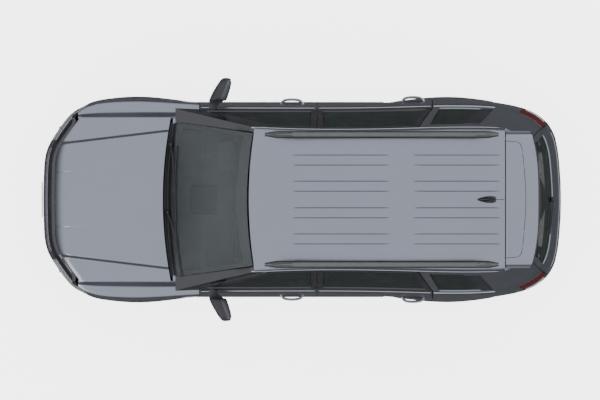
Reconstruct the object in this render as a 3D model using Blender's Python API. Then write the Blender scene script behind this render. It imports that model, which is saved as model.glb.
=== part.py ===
"""A full-size seven-seat SUV as an assembly of separate panels, running gear and seats.

Frame: +X forward, +Y to the car's left, +Z up, in metres. The origin is on the ground,
midway between the front and rear bumpers. Everything is built for the left side (+Y) and
mirrored for the right.
"""

import math

import bmesh
import bpy
import numpy as np
from mathutils import Matrix, Vector

# ---------------------------------------------------------------- driving dimensions
LENGTH = 4.914
HEIGHT = 1.842
WHEELBASE = 2.900
FRONT_OVERHANG = 0.905
TRACK = 1.620
WAIST_HALF = 0.932
FLARE = 0.034
TYRE_RADIUS = 0.394
TYRE_WIDTH = 0.255
RIM_RADIUS = 0.238
ARCH_RADIUS = 0.455

PANEL_GAP = 0.008
DOOR_WALL = 0.120
DOOR_EDGE = 0.034
FRAME_WALL = 0.045
SIDE_WALL = 0.190
PILLAR_WALL = 0.110
BELT_RECESS = 0.085
SKIN_WALL = 0.035
ROOF_WALL = 0.045
GLASS = 0.005
GLASS_RECESS = 0.010

NOSE = LENGTH / 2
NOSE_FACE = NOSE - 0.014
FRONT_AXLE = NOSE - FRONT_OVERHANG
REAR_AXLE = FRONT_AXLE - WHEELBASE
AXLE_Z = TYRE_RADIUS

SILL_BOTTOM = 0.285
DOOR_BOTTOM = 0.375
BELT = 1.175
GLASS_BOTTOM = 1.200
FRAME_WIDTH = 0.055

DOOR_FRONT = 0.957
PILLAR_B = -0.146
DOOR_REAR = -1.231
DOOR_REAR_LEAN = 0.274
DOOR_ARCH_RADIUS = ARCH_RADIUS + 0.085
PILLAR_RISE = 0.634
SCREEN_FOOT = (1.165, 1.190)
DOOR_PILLAR_FOOT = 1.235

HOOD_HALF = 0.775
BUMPER_TOP = 0.6865
LAMP_TOP = 0.985
TAIL_LAMP_BOTTOM = 0.860
TAIL_LAMP_TOP = 1.145
REAR_BUMPER_SIDE_TOP = 0.788
TAILGATE_BOTTOM = 0.700
TAILGATE_HALF = 0.705
ROOF_REAR = -1.910
CORNER_TOP = 1.605
SPOILER_HALF = 0.645
SPOILER_TRAIL = -2.235

KINGPIN_Y = 0.740
HINGE_SETBACK = 0.060
HINGE_DEPTH = 0.022
DOOR_HINGE_Z = 0.750

RAIL_Y = 0.400
REAR_RAIL_Y = 0.480
FLOOR_Z = 0.460
REAR_FLOOR_Z = 0.640
FLOOR_SHEET = 0.020
FLOOR_STEP = -0.780
FIREWALL = 1.020
WHEEL_BOX_IN = 0.585
WHEEL_BOX_OUT = 0.735
WHEEL_BOX_RADIUS = 0.490
WHEEL_SPACE_RADIUS = 0.465

MIRROR_ROOT = 0.925
MIRROR_BOTTOM = 1.120
MIRROR_HEIGHT = 0.195
MIRROR_FOOT = (0.800, 1.125), (0.876, 1.190)
# The head's plan: x, and y counted from its root.
MIRROR_HEAD = [
    (0.874, 0.000), (0.860, 0.040), (0.835, 0.090), (0.777, 0.185), (0.740, 0.218), (0.690, 0.225),
    (0.664, 0.205), (0.662, 0.160), (0.690, 0.065), (0.708, 0.000),
]
TOUCH = 0.0012

PLATE_HALF = 0.170
PLATE_HEIGHT = 0.110
PLATE_THICK = 0.006
FRONT_PLATE_Z = 0.535
REAR_PLATE_Z = 0.790

FRONT_HIP = 0.100
SECOND_HIP = -0.780
THIRD_HIP = -1.620
FRONT_SEAT_IN = 0.168
FRONT_SEAT_OUT = 0.650
SPARE_X = -1.935


# ---------------------------------------------------------------- smooth curves
def spline(points):
    """A natural cubic through (t, value) pairs, straight beyond its ends."""
    t, y = (np.array(column, float) for column in zip(*points))
    count = len(t)
    step = np.diff(t)
    system, right = np.eye(count), np.zeros(count)
    for k in range(1, count - 1):
        system[k, k - 1 : k + 2] = step[k - 1], 2 * (step[k - 1] + step[k]), step[k]
        right[k] = 6 * ((y[k + 1] - y[k]) / step[k] - (y[k] - y[k - 1]) / step[k - 1])
    bend = np.linalg.solve(system, right)

    def value(at):
        at = np.clip(np.asarray(at, float), t[0], t[-1])
        k = np.clip(np.searchsorted(t, at, side="right") - 1, 0, count - 2)
        a, b, h = t[k + 1] - at, at - t[k], step[k]
        cubic = (bend[k] * a**3 + bend[k + 1] * b**3) / (6 * h)
        return cubic + (y[k] / h - bend[k] * h / 6) * a + (y[k + 1] / h - bend[k + 1] * h / 6) * b

    return value


def ease(low, high, value):
    """0 below low, 1 above high, smooth between."""
    share = np.clip((np.asarray(value, float) - low) / (high - low), 0, 1)
    return share * share * (3 - 2 * share)


# ---------------------------------------------------------------- the body's form
# Half of the plan outline at the waist, from the nose's centre to the tail's centre.
OUTLINE = [
    (NOSE_FACE, 0.0), (2.438, 0.25), (2.408, 0.47), (2.292, 0.67), (2.165, 0.822), (2.020, 0.897),
    (1.800, 0.926), (FRONT_AXLE, WAIST_HALF), (1.250, 0.926), (0.950, 0.914), (0.500, 0.909),
    (0.000, 0.908), (-0.500, 0.910), (-0.950, 0.919), (REAR_AXLE, 0.929), (-1.750, 0.920),
    (-2.000, 0.890), (-2.200, 0.822), (-2.330, 0.715), (-2.405, 0.560), (-2.440, 0.330),
    (-NOSE, 0.0),
]
_AROUND = [(x, -y) for x, y in OUTLINE[2:0:-1]] + OUTLINE + [(x, -y) for x, y in OUTLINE[-2:-4:-1]]
_STEPS = np.cumsum([0.0] + [math.dist(a, b) for a, b in zip(_AROUND, _AROUND[1:])])
_STEPS = _STEPS - _STEPS[2]
_PLAN_X = spline([(s, p[0]) for s, p in zip(_STEPS, _AROUND)])
_PLAN_Y = spline([(s, p[1]) for s, p in zip(_STEPS, _AROUND)])
_DENSE = np.linspace(0, _STEPS[-3], 1500)
_DENSE_X, _DENSE_Y = _PLAN_X(_DENSE), _PLAN_Y(_DENSE)

SIDE_INSET = spline([
    (0.250, 0.045), (0.340, 0.022), (0.450, 0.006), (0.600, 0.000), (0.850, 0.000),
    (0.980, 0.006), (1.060, 0.020), (1.120, 0.040), (1.175, 0.064), (1.300, 0.108),
    (1.450, 0.162), (1.600, 0.218), (1.720, 0.264), (1.850, 0.310),
])
NOSE_INSET = spline([
    (0.250, 0.100), (0.350, 0.040), (0.470, 0.006), (0.600, 0.000), (0.690, 0.006),
    (0.760, 0.022), (0.900, 0.034), (1.000, 0.056), (1.060, 0.100), (1.120, 0.160),
])
TAIL_INSET = spline([
    (0.380, 0.070), (0.480, 0.010), (0.600, 0.000), (0.700, 0.010), (0.850, 0.018),
    (1.000, 0.024), (1.100, 0.044), (1.180, 0.086), (1.300, 0.120), (1.640, 0.218),
    (1.800, 0.262),
])
HOOD_CROWN = spline([
    (1.200, 1.190), (1.306, 1.184), (1.600, 1.166), (1.900, 1.145), (2.150, 1.116),
    (2.280, 1.090), (2.340, 1.062),
])
HOOD_DROP = 0.055
ROOF_CROWN = spline([
    (-2.250, 1.706), (-2.080, 1.735), (ROOF_REAR, 1.757), (-1.500, 1.783), (-0.900, 1.795),
    (-0.300, 1.785), (0.200, 1.753), (0.495, 1.712),
])
ROOF_EDGE = spline([
    (-2.000, 1.650), (ROOF_REAR, 1.660), (-1.400, 1.690), (-0.700, 1.702), (0.000, 1.692),
    (0.440, 1.652),
])


def along_side(x):
    """Where along the outline its side reaches x at the waist."""
    return np.interp(-np.asarray(x, float), -_DENSE_X, _DENSE)


def across_nose(y):
    """Where along the outline its front reaches half-width y."""
    return np.interp(y, _DENSE_Y[:200], _DENSE[:200])


def across_tail(y):
    """Where along the outline its rear reaches half-width y."""
    return np.interp(y, _DENSE_Y[::-1][:200], _DENSE[::-1][:200])


def flare(x, z):
    """How far the wheel arches push the side out."""
    out = 0.0
    for axle in (FRONT_AXLE, REAR_AXLE):
        share = np.clip(np.abs(x - axle) / 0.64, 0, 1)
        out = out + FLARE * 0.5 * (1 + np.cos(np.pi * share))
    return out * (1 - ease(0.84, 1.08, z))


def hull(s, z):
    """The point of the left body surface at outline length s and height z."""
    x, y = _PLAN_X(s), _PLAN_Y(s)
    inset = np.maximum(0, np.where(x > 0, NOSE_INSET(z), TAIL_INSET(z)))
    x = x - np.sign(x) * inset * ease(1.75, 2.25, np.abs(x))
    y = y * (1 - SIDE_INSET(z) / WAIST_HALF)
    return np.stack(np.broadcast_arrays(x, y + flare(x, z) * (y > 0.5), z), -1)


def side_y(x, z):
    """Half-width of the body at x and z, where its side is straight enough."""
    return float(hull(along_side(x), z)[1])


def skin_y(x, z, below, above):
    """Half-width of a panel's flat facet between two of its rows."""
    share = (z - below) / (above - below)
    return side_y(x, below) * (1 - share) + side_y(x, above) * share


def roof_z(x, y):
    """Height of the roof's outer surface."""
    reach = np.abs(y) / 0.66
    return ROOF_CROWN(x) - 0.045 * reach**2.4


def dome_line(x):
    """Half-width at which the hood's raised middle ends."""
    return 0.523 + 0.123 * np.clip((2.30 - np.asarray(x, float)) / 1.03, 0, 1)


def hood_z(x, y):
    """Height of the hood's outer surface."""
    y = np.abs(y)
    rise = 0.016 * (1 - ease(-0.024, 0.020, y - dome_line(x))) * ease(1.0, 0.92, x / 2.34)
    return HOOD_CROWN(x) - HOOD_DROP * (y / HOOD_HALF) ** 2.2 + rise


def hood_rear(y):
    return 1.306 - 0.076 * (np.abs(y) / HOOD_HALF) ** 2


def hood_front(y):
    """The hood's front edge follows the nose 0.115 m behind it."""
    return float(_PLAN_X(across_nose(min(abs(y) * 1.02, 0.80)))) - 0.117


def pillar_line(z):
    """Side view: the windscreen's edge."""
    return SCREEN_FOOT[0] - (z - SCREEN_FOOT[1]) / PILLAR_RISE


def screen_edge(z):
    """Half-width of the windscreen's glass at height z."""
    return 0.730 - 0.108 * (z - 1.166) / 0.484


def door_front(z):
    """Side view: the front door's leading edge, upright and then along the pillar."""
    return DOOR_FRONT - max(0.0, z - DOOR_PILLAR_FOOT) / PILLAR_RISE


def door_rear(z):
    """Side view: the rear door's trailing edge, round the wheel arch and then leaning."""
    if z < AXLE_Z + DOOR_ARCH_RADIUS:
        arch = REAR_AXLE + math.sqrt(DOOR_ARCH_RADIUS**2 - (z - AXLE_Z) ** 2)
        return max(DOOR_REAR, arch)
    return DOOR_REAR + max(0.0, z - BELT) * DOOR_REAR_LEAN


def arch_x(axle, z, way):
    """Side view: the wheel arch's edge at height z; way is 1 ahead of the axle, -1 behind."""
    rise = min(max(0.0, z - AXLE_Z), ARCH_RADIUS * math.sin(math.radians(80)))
    return axle + way * math.sqrt(ARCH_RADIUS**2 - rise**2)


# ---------------------------------------------------------------- mesh tools
def material(name, colour, roughness, metallic=0.0, alpha=1.0):
    made = bpy.data.materials.new(name)
    made.use_nodes = True
    shader = made.node_tree.nodes["Principled BSDF"]
    shader.inputs["Base Color"].default_value = (*colour, 1.0)
    shader.inputs["Roughness"].default_value = roughness
    shader.inputs["Metallic"].default_value = metallic
    shader.inputs["Alpha"].default_value = alpha
    return made


def store(name, bm, finish=None):
    """A bmesh as a named object with its faces pointing out."""
    bmesh.ops.recalc_face_normals(bm, faces=bm.faces[:])
    if bm.calc_volume(signed=True) < 0:
        bmesh.ops.reverse_faces(bm, faces=bm.faces[:])
    mesh = bpy.data.meshes.new(name)
    bm.to_mesh(mesh)
    bm.free()
    mesh.shade_smooth()
    mesh.set_sharp_from_angle(angle=math.radians(35))
    made = bpy.data.objects.new(name, mesh)
    bpy.context.scene.collection.objects.link(made)
    if finish:
        mesh.materials.append(finish)
    return made


def mirrored(points, side):
    """Points of the left side, or the same on the right."""
    return np.asarray(points, float) * np.array([1.0, side, 1.0])


def wall(name, outer, inner, finish=None, keep=None, side=1):
    """A closed panel between an outer and an inner grid of points, without the cells not kept."""
    outer, inner = mirrored(outer, side), mirrored(inner, side)
    rows, columns = outer.shape[:2]
    bm = bmesh.new()
    bmesh.ops.create_grid(bm, x_segments=columns - 1, y_segments=rows - 1, size=1.0)
    row, column = bm.verts.layers.int.new("row"), bm.verts.layers.int.new("column")
    for vert in bm.verts:
        vert[column] = round((vert.co.x + 1) / 2 * (columns - 1))
        vert[row] = round((vert.co.y + 1) / 2 * (rows - 1))
    if keep is not None:
        unwanted = [
            face for face in bm.faces
            if not keep[min(v[row] for v in face.verts)][min(v[column] for v in face.verts)]
        ]
        bmesh.ops.delete(bm, geom=unwanted, context="FACES")
    outside = set(bm.verts)
    bmesh.ops.extrude_face_region(bm, geom=bm.faces[:])
    for vert in bm.verts:
        grid = outer if vert in outside else inner
        vert.co = grid[vert[row], vert[column]]
    return store(name, bm, finish)


def grid_normals(points):
    """Unit normals of a grid of points, by central differences."""
    across, up = np.gradient(points, axis=1), np.gradient(points, axis=0)
    normal = np.cross(across, up)
    return normal / np.maximum(np.linalg.norm(normal, axis=-1, keepdims=True), 1e-9)


def inward(points, depth, towards):
    """The grid moved by depth along its normals, to the side that the towards vector points."""
    normal = grid_normals(points)
    facing = np.sign(np.mean(normal @ np.asarray(towards, float)))
    return points + normal * facing * np.asarray(depth, float)[..., None]


def box(name, low, high, finish=None, bevel=0.0):
    bm = bmesh.new()
    bmesh.ops.create_cube(bm, size=1.0)
    low, high = Vector(low), Vector(high)
    bmesh.ops.scale(bm, vec=high - low, verts=bm.verts[:])
    bmesh.ops.translate(bm, vec=(low + high) / 2, verts=bm.verts[:])
    if bevel:
        bmesh.ops.bevel(bm, geom=bm.edges[:], offset=bevel, segments=2, profile=0.5, affect="EDGES")
    return store(name, bm, finish)


def prism(name, outline, low_y, high_y, finish=None, bevel=0.0):
    """A side-view outline of (x, z) points, extruded across the car."""
    bm = bmesh.new()
    face = bm.faces.new([bm.verts.new((x, low_y, z)) for x, z in outline])
    grown = bmesh.ops.extrude_face_region(bm, geom=[face])["geom"]
    moved = [item for item in grown if isinstance(item, bmesh.types.BMVert)]
    bmesh.ops.translate(bm, vec=(0, high_y - low_y, 0), verts=moved)
    if bevel:
        bmesh.ops.bevel(bm, geom=bm.edges[:], offset=bevel, segments=2, profile=0.5, affect="EDGES")
    return store(name, bm, finish)


def turned(name, profile, centre, finish=None, steps=24, axis="Y"):
    """A closed profile of (radius, distance along the axis), spun round the Y or Z axis."""
    bm = bmesh.new()
    verts = [bm.verts.new((radius, offset, 0)) for radius, offset in profile]
    edges = [bm.edges.new((a, b)) for a, b in zip(verts, verts[1:] + verts[:1])]
    bmesh.ops.spin(
        bm, geom=verts + edges, cent=(0, 0, 0), axis=(0, 1, 0), angle=math.tau, steps=steps,
        use_merge=True,
    )
    bmesh.ops.remove_doubles(bm, verts=bm.verts[:], dist=0.0001)
    turn = Matrix.Rotation(math.pi / 2, 4, "X") if axis == "Z" else Matrix()
    bmesh.ops.transform(bm, matrix=Matrix.Translation(centre) @ turn, verts=bm.verts[:])
    return store(name, bm, finish)


def rod(name, start, end, radius, finish=None, sides=12):
    """A plain round bar between two points."""
    start, end = Vector(start), Vector(end)
    bm = bmesh.new()
    bmesh.ops.create_cone(
        bm, cap_ends=True, segments=sides, radius1=radius, radius2=radius, depth=(end - start).length
    )
    turn = (end - start).to_track_quat("Z", "Y").to_matrix().to_4x4()
    bmesh.ops.transform(bm, matrix=Matrix.Translation((start + end) / 2) @ turn, verts=bm.verts[:])
    return store(name, bm, finish)


def pipe(name, route, radius, finish=None, sides=10):
    """A round tube, modelled solid, that follows a route with mitred corners."""
    route = [Vector(point) for point in route]
    bm = bmesh.new()
    rings = []
    for k, point in enumerate(route):
        before = (point - route[k - 1]).normalized() if k else Vector()
        after = (route[k + 1] - point).normalized() if k + 1 < len(route) else Vector()
        along = (before + after).normalized()
        across = along.cross(Vector((0.0, 0.0, 1.0))).normalized()
        up = across.cross(along)
        turns = [math.tau * step / sides for step in range(sides)]
        rings.append([
            bm.verts.new(point + (across * math.cos(a) + up * math.sin(a)) * radius) for a in turns
        ])
    for first, second in zip(rings, rings[1:]):
        for k in range(sides):
            bm.faces.new((first[k - 1], first[k], second[k], second[k - 1]))
    bm.faces.new(rings[0])
    bm.faces.new(rings[-1])
    return store(name, bm, finish)


def boolean(target, tool, operation):
    """Joins or cuts target by tool, which is used up."""
    change = target.modifiers.new(operation.lower(), "BOOLEAN")
    change.operation, change.object, change.solver = operation, tool, "EXACT"
    bpy.context.view_layer.objects.active = target
    bpy.ops.object.modifier_apply(modifier=change.name)
    bpy.data.objects.remove(tool)
    return target


def joined(name, pieces, finish):
    """Overlapping pieces made into one body."""
    whole = pieces[0]
    for piece in pieces[1:]:
        boolean(whole, piece, "UNION")
    whole.name = name
    whole.data.name = name
    whole.data.materials.clear()
    whole.data.materials.append(finish)
    return whole


def pivot(name, place):
    """An empty on a joint's axis, which carries what moves there."""
    made = bpy.data.objects.new(name, None)
    made.location = place
    made.empty_display_size = 0.1
    bpy.context.scene.collection.objects.link(made)
    return made


def hang(piece, carrier):
    """Gives the piece its origin on the carrier's place, and parents it there."""
    piece.data.transform(Matrix.Translation(-carrier.location))
    piece.parent = carrier
    return piece


def both_halves(left):
    """Rows of left-side points that start at the centre line, with their mirror images added."""
    return np.concatenate([mirrored(left[:, :0:-1], -1), left], axis=1)


# ---------------------------------------------------------------- panels of the side
def named(base, side):
    return f"{base}_{'left' if side > 0 else 'right'}"


def side_grid(columns, rows):
    """Points of the body surface for columns of x(row index, z) and rows of z(x)."""
    points = np.zeros((len(rows), len(columns), 3))
    for j, row in enumerate(rows):
        for i, column in enumerate(columns):
            x = 0.0
            for _ in range(6):
                z = row(x) if callable(row) else row
                x = column(z)
            points[j, i] = hull(along_side(x), z)
    return points


def door_top(x):
    return float(ROOF_EDGE(x)) - PANEL_GAP


def door_rows():
    """Heights of a door's grid lines: lower skin, belt, window and top rail."""
    lower = [DOOR_BOTTOM, 0.46, 0.55, 0.66, 0.77, 0.85, 0.90, 0.932, 1.00, 1.07, 1.12]
    rail = [lambda x, drop=drop: door_top(x) - drop for drop in (FRAME_WIDTH, 0.0)]
    return lower + [GLASS_BOTTOM, 1.330, 1.460, 1.570] + rail, len(lower)


def door(name, glass_name, front, rear, lead, trail, paint, glass, side):
    """One door as a hollow-framed panel with its window cut, and the glass that fits it."""
    rows, belt_row = door_rows()
    inset = FRAME_WIDTH

    def edge(base, offset):
        return lambda z: base(z) + offset

    def between(share):
        return lambda z: (front(z) - lead(z)) * (1 - share) + (rear(z) + trail(z)) * share

    columns = [edge(front, 0.0), edge(front, -0.012), between(0.0)]
    columns += [between(share) for share in (0.2, 0.4, 0.6, 0.8, 1.0)]
    columns += [edge(rear, 0.012), edge(rear, 0.0)]
    outer = side_grid(columns, rows)
    count = len(columns)
    depth = np.full(outer.shape[:2], DOOR_WALL)
    depth[belt_row:] = FRAME_WALL
    depth[belt_row - 1] = 0.085
    for column in (0, 1, count - 2, count - 1):
        depth[:, column] = DOOR_EDGE
    inner = outer - depth[..., None] * np.array([0.0, 1.0, 0.0])
    keep = np.ones((len(rows) - 1, count - 1), bool)
    keep[belt_row : len(rows) - 2, 2 : count - 3] = False
    panel = wall(name, outer, inner, paint, keep, side)

    pane = side_grid(columns[2 : count - 2], rows[belt_row : len(rows) - 1])
    middle = pane.reshape(-1, 3).mean(0)
    shrink = np.array([0.9930, 1.0, 0.9880])
    pane = middle + (pane - middle) * shrink
    pane[..., 1] = [[side_y(p[0], p[2]) - GLASS_RECESS for p in line] for line in pane]
    sheet = wall(glass_name, pane, pane - np.array([0.0, GLASS, 0.0]), glass, None, side)
    return panel, sheet


def front_door(side, paint, glass):
    lean = FRAME_WIDTH / math.sin(math.atan(PILLAR_RISE))

    def lead(z):
        return FRAME_WIDTH + (lean - FRAME_WIDTH) * float(ease(BELT, 1.30, z))

    return door(
        named("front_door", side), named("front_door_glass", side), door_front,
        lambda z: PILLAR_B + PANEL_GAP / 2, lead, lambda z: FRAME_WIDTH, paint, glass, side,
    )


def rear_door(side, paint, glass):
    return door(
        named("rear_door", side), named("rear_door_glass", side),
        lambda z: PILLAR_B - PANEL_GAP / 2, door_rear, lambda z: FRAME_WIDTH,
        lambda z: FRAME_WIDTH, paint, glass, side,
    )


def body_side(side, paint, glass):
    """Sill, pillars, cant rail and rear quarter as one side frame, with its door openings."""
    recess, pillar_recess = DOOR_WALL + 0.016, FRAME_WALL + 0.014
    arch_rows = [AXLE_Z + ARCH_RADIUS * math.sin(math.radians(a)) for a in (0, 20, 40)]
    top_rows = [lambda x, drop=drop: float(ROOF_EDGE(x)) - drop for drop in (0.078, 0.010)]
    rows = [
        SILL_BOTTOM, DOOR_BOTTOM - 0.010, DOOR_BOTTOM - 0.007, *arch_rows[:1], 0.475,
        *arch_rows[1:], REAR_BUMPER_SIDE_TOP, AXLE_Z + ARCH_RADIUS * math.sin(math.radians(80)),
        TAIL_LAMP_BOTTOM, 0.905, 0.934, 1.050, TAIL_LAMP_TOP, BELT, 1.215, 1.340, 1.480,
        *top_rows,
    ]
    corner = [along_side(-2.10), along_side(-2.20), across_tail(0.800), across_tail(0.712)]

    def front_edge(z):
        return pillar_line(z) if z > BELT - 0.001 else 1.100

    def opening_rear(z):
        return door_rear(z) + 0.050

    columns = [
        front_edge, lambda z: door_front(z) + PANEL_GAP, lambda z: door_front(z) + 0.005,
        lambda z: door_front(z) - 0.050, lambda z: 0.45 - 0.3 * float(ease(1.2, 1.6, z)),
        lambda z: PILLAR_B + 0.091, lambda z: PILLAR_B - 0.091, lambda z: -0.60,
        opening_rear, lambda z: door_rear(z) - 0.005, lambda z: door_rear(z) - PANEL_GAP,
    ]
    last_door = len(columns) - 1

    def quarter(share):
        def x(z):
            ahead = arch_x(REAR_AXLE, z, 1) if z < BELT - 0.1 else 0.0
            lean = max(0.0, z - BELT)
            middle = REAR_AXLE - 0.05 - 0.17 * float(ease(0.86, BELT, z)) + lean * 0.2
            start = {0: -1.300 + lean * 0.22, 1: middle, 2: -1.700 + lean * 0.40}
            if z <= AXLE_Z + ARCH_RADIUS:
                start[0] = ahead
                start[1] = arch_x(REAR_AXLE, z, -1)
                start[2] = min(-1.72, start[1] - 0.03)
            return start[share]
        return x

    columns += [quarter(0), quarter(1), quarter(2), lambda z: -1.90]
    points = np.zeros((len(rows), len(columns) + len(corner), 3))
    points[:, : len(columns)] = side_grid(columns, rows)
    for j, row in enumerate(rows):
        for k, s in enumerate(corner):
            z = row(ROOF_REAR) if callable(row) else row
            points[j, len(columns) + k] = hull(s, min(z, CORNER_TOP - 0.03 * (len(rows) - 1 - j)))
    shape = points.shape[:2]
    greenhouse = len(rows) - 6
    sink = np.zeros(shape)
    wall_depth = np.full(shape, SIDE_WALL)
    wall_depth[greenhouse] = BELT_RECESS + 0.050
    wall_depth[greenhouse + 1 :] = PILLAR_WALL
    for j in range(2, shape[0]):
        covered = pillar_recess if j >= greenhouse else recess
        if j == greenhouse:
            covered = BELT_RECESS
        sink[j, 2:last_door] = covered
        if j < greenhouse:
            sink[j, 0:2] = covered
    outer = points - sink[..., None] * np.array([0.0, 1.0, 0.0])
    inner = points - wall_depth[..., None] * np.array([0.0, 1.0, 0.0])
    for j in range(greenhouse - 1, shape[0]):
        inner[j, 0, 1] = screen_edge(points[j, 0, 2]) + 0.006
    back = len(columns)
    for k, turn in enumerate((20, 45, 70, 88)):
        way = np.array([-math.sin(math.radians(turn)), math.cos(math.radians(turn)), 0.0])
        depth = 0.10 if k < 3 else 0.085
        inner[:, back + k] = points[:, back + k] - way * depth
    keep = np.ones((shape[0] - 1, shape[1] - 1), bool)
    top = shape[0] - 2
    keep[4:top, 3:5] = False
    keep[4:top, 6:8] = False
    arch_top = 9
    keep[:arch_top, last_door + 1] = False
    keep[:7, last_door + 2 :] = False
    keep[9:13, back:] = False
    keep[greenhouse:top, last_door + 1 : last_door + 3] = False
    keep[0:2, 0:1] = False
    panel = wall(named("body_side", side), outer, inner, paint, keep, side)

    pane = points[greenhouse : top + 1, last_door + 1 : last_door + 4].copy()
    middle = pane.reshape(-1, 3).mean(0)
    pane = middle + (pane - middle) * np.array([0.992, 1.0, 0.992])
    pane[..., 1] = [[side_y(p[0], p[2]) - GLASS_RECESS for p in line] for line in pane]
    back = pane - np.array([0, GLASS, 0])
    sheet = wall(named("quarter_glass", side), pane, back, glass, None, side)
    return panel, sheet


def front_fender(side, paint):
    """The wing from the door to the headlamp, rolled over to the hood's edge."""
    sines = [AXLE_Z + ARCH_RADIUS * math.sin(math.radians(a)) for a in (0, 20, 40, 60, 80)]
    levels = [SILL_BOTTOM + 0.06, *sines, 0.900, LAMP_TOP]
    edge_columns = [
        lambda z: DOOR_FRONT + PANEL_GAP, lambda z: 1.03,
        lambda z: arch_x(FRONT_AXLE, z, -1), lambda z: arch_x(FRONT_AXLE, z, 1),
        lambda z: 2.045, lambda z: 2.150,
    ]
    body = side_grid(edge_columns, levels)
    roll = []
    for share in (0.25, 0.5, 0.75, 1.0):
        turn = share * math.pi / 2
        line = []
        for column in edge_columns:
            x = column(LAMP_TOP)
            start = hull(along_side(x), LAMP_TOP)
            edge_z = float(hood_z(min(x, 2.15), HOOD_HALF)) - 0.004
            y = HOOD_HALF + 0.006 + (start[1] - HOOD_HALF - 0.006) * math.cos(turn)
            line.append((start[0], y, LAMP_TOP + (edge_z - LAMP_TOP) * math.sin(turn)))
        roll.append(line)
    outer = np.concatenate([body, np.array(roll)])
    inner = inward(outer, np.full(outer.shape[:2], 0.020), (0, -1, -0.5))
    keep = np.ones((outer.shape[0] - 1, outer.shape[1] - 1), bool)
    keep[:5, 2] = False
    keep[:3, 3:] = False
    keep[:7, 4] = False
    return wall(named("front_fender", side), outer, inner, paint, keep, side)


# ---------------------------------------------------------------- top panels
def across(values):
    """The values with their mirror images, from right to left."""
    return sorted({-v for v in values} | set(values))


def hood(paint):
    shares = [0.0, 0.05, 0.16, 0.4, 0.7, 0.92, 1.0]
    lanes = [0.0, 0.26, "inside", "outside", HOOD_HALF - 0.06, HOOD_HALF]
    half = []
    for lane in lanes:
        line = []
        for share in shares:
            y = 0.5 if isinstance(lane, str) else lane
            x = hood_front(y) + (hood_rear(y) - hood_front(y)) * share
            if lane == "inside":
                y = float(dome_line(x)) - 0.024
            if lane == "outside":
                y = float(dome_line(x)) + 0.020
            x = hood_front(y) + (hood_rear(y) - hood_front(y)) * share
            line.append((x, y, float(hood_z(x, y))))
        half.append(line)
    left = np.array(half)
    outer = np.concatenate([mirrored(left[:0:-1], -1), left])
    inner = outer - np.array([0.0, 0.0, SKIN_WALL])
    return wall("hood", outer, inner, paint)


def roof_point(x, y):
    """The roof's skin, rolling down to the door tops past its flat middle."""
    edge_z = float(ROOF_EDGE(max(x, ROOF_REAR)))
    edge_y = side_y(x, edge_z)
    share = y / 0.66
    if share <= 0.90:
        return (x, y, float(roof_z(x, y)))
    turn = (share - 0.90) / 0.10 * math.pi / 2
    start_y, start_z = 0.594, float(roof_z(x, 0.594))
    return (
        x, start_y + (edge_y - start_y) * math.sin(turn),
        edge_z + (start_z - edge_z) * math.cos(turn),
    )


def roof_panel(paint):
    lanes = [0.0, 0.22, 0.42, 0.594, 0.627, 0.648, 0.66]
    shares = [0.0, 0.06, 0.14, 0.25, 0.38, 0.52, 0.66, 0.80, 0.92, 1.0]
    half = []
    for y in lanes:
        front = 0.495 - 0.055 * (y / 0.66) ** 2
        line = [roof_point(front + (ROOF_REAR - front) * share, y) for share in shares]
        half.append(line)
    left = np.array(half)
    outer = np.concatenate([mirrored(left[:0:-1], -1), left])
    inner = inward(outer, np.full(outer.shape[:2], ROOF_WALL), (0, 0, -1))
    rim = np.abs(outer[:, 0, 1]) > 0.59
    floor = ROOF_EDGE(outer[..., 0]) + 0.004
    inner[..., 2] = np.where(rim[:, None], np.maximum(inner[..., 2], floor), inner[..., 2])
    for line in (0, -1):
        inner[line] = outer[line] - mirrored((0.0, 0.018, 0.0), np.sign(outer[line, 0, 1]))
        inner[line, :, 2] += 0.004
    return wall("roof_panel", outer, inner, paint)


def windscreen(glass):
    rows = []
    for share in (0.0, 0.25, 0.5, 0.75, 1.0):
        line = []
        for step in across((0.0, 0.3, 0.6, 0.85, 1.0)):
            foot = np.array([1.222 - 0.055 * step**2, 0.730 * step, 1.178 - 0.012 * step**2])
            head_x = 0.514 - 0.055 * step**2
            head = np.array([head_x, 0.622 * step, roof_z(head_x, 0.622 * step) - 0.010])
            bulge = np.array([0.5, 0.0, 0.85]) * 0.030 * math.sin(share * math.pi) * (1 - step**2)
            line.append(foot + (head - foot) * share + bulge)
        rows.append(line)
    outer = np.array(rows)
    return wall("windscreen", outer, inward(outer, np.full(outer.shape[:2], 0.006), (0, 0, -1)), glass)


def cowl_panel(plastic):
    steps = across((0.0, 0.35, 0.7, 1.0))
    rows = []
    for share, z in ((0.0, 1.128), (0.35, 1.122), (1.0, 1.158)):
        line = []
        for step in steps:
            y = 0.720 * step
            ahead, behind = hood_rear(y) - 0.004, 1.216 - 0.050 * step**2
            drop = 0.020 * step**2
            line.append((ahead + (behind - ahead) * share, y, z - drop))
        rows.append(line)
    outer = np.array(rows)
    return wall("cowl_panel", outer, outer - np.array([0.0, 0.0, 0.020]), plastic)


# ---------------------------------------------------------------- nose
def nose_grid(lengths, rows):
    """Points of the nose for outline lengths (negative on the right) and heights."""
    points = np.array([[hull(abs(s), z) for s in lengths] for z in rows])
    points[..., 1] *= np.sign([s if s else 1.0 for s in lengths])
    return points


def shrunk(points, inset):
    """The grid moved inwards and towards the car's middle, for a wall's inner face."""
    way = points[..., :2] / np.maximum(np.abs(points[..., :2]), 1e-6)
    share_y = ease(0.70, 0.90, np.abs(points[..., 1]))
    share_x = 1 - ease(0.70, 0.93, np.abs(points[..., 1]))
    moved = points.copy()
    moved[..., 0] -= way[..., 0] * inset * np.maximum(share_x, 0.15)
    moved[..., 1] -= way[..., 1] * inset * share_y
    return moved


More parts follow.
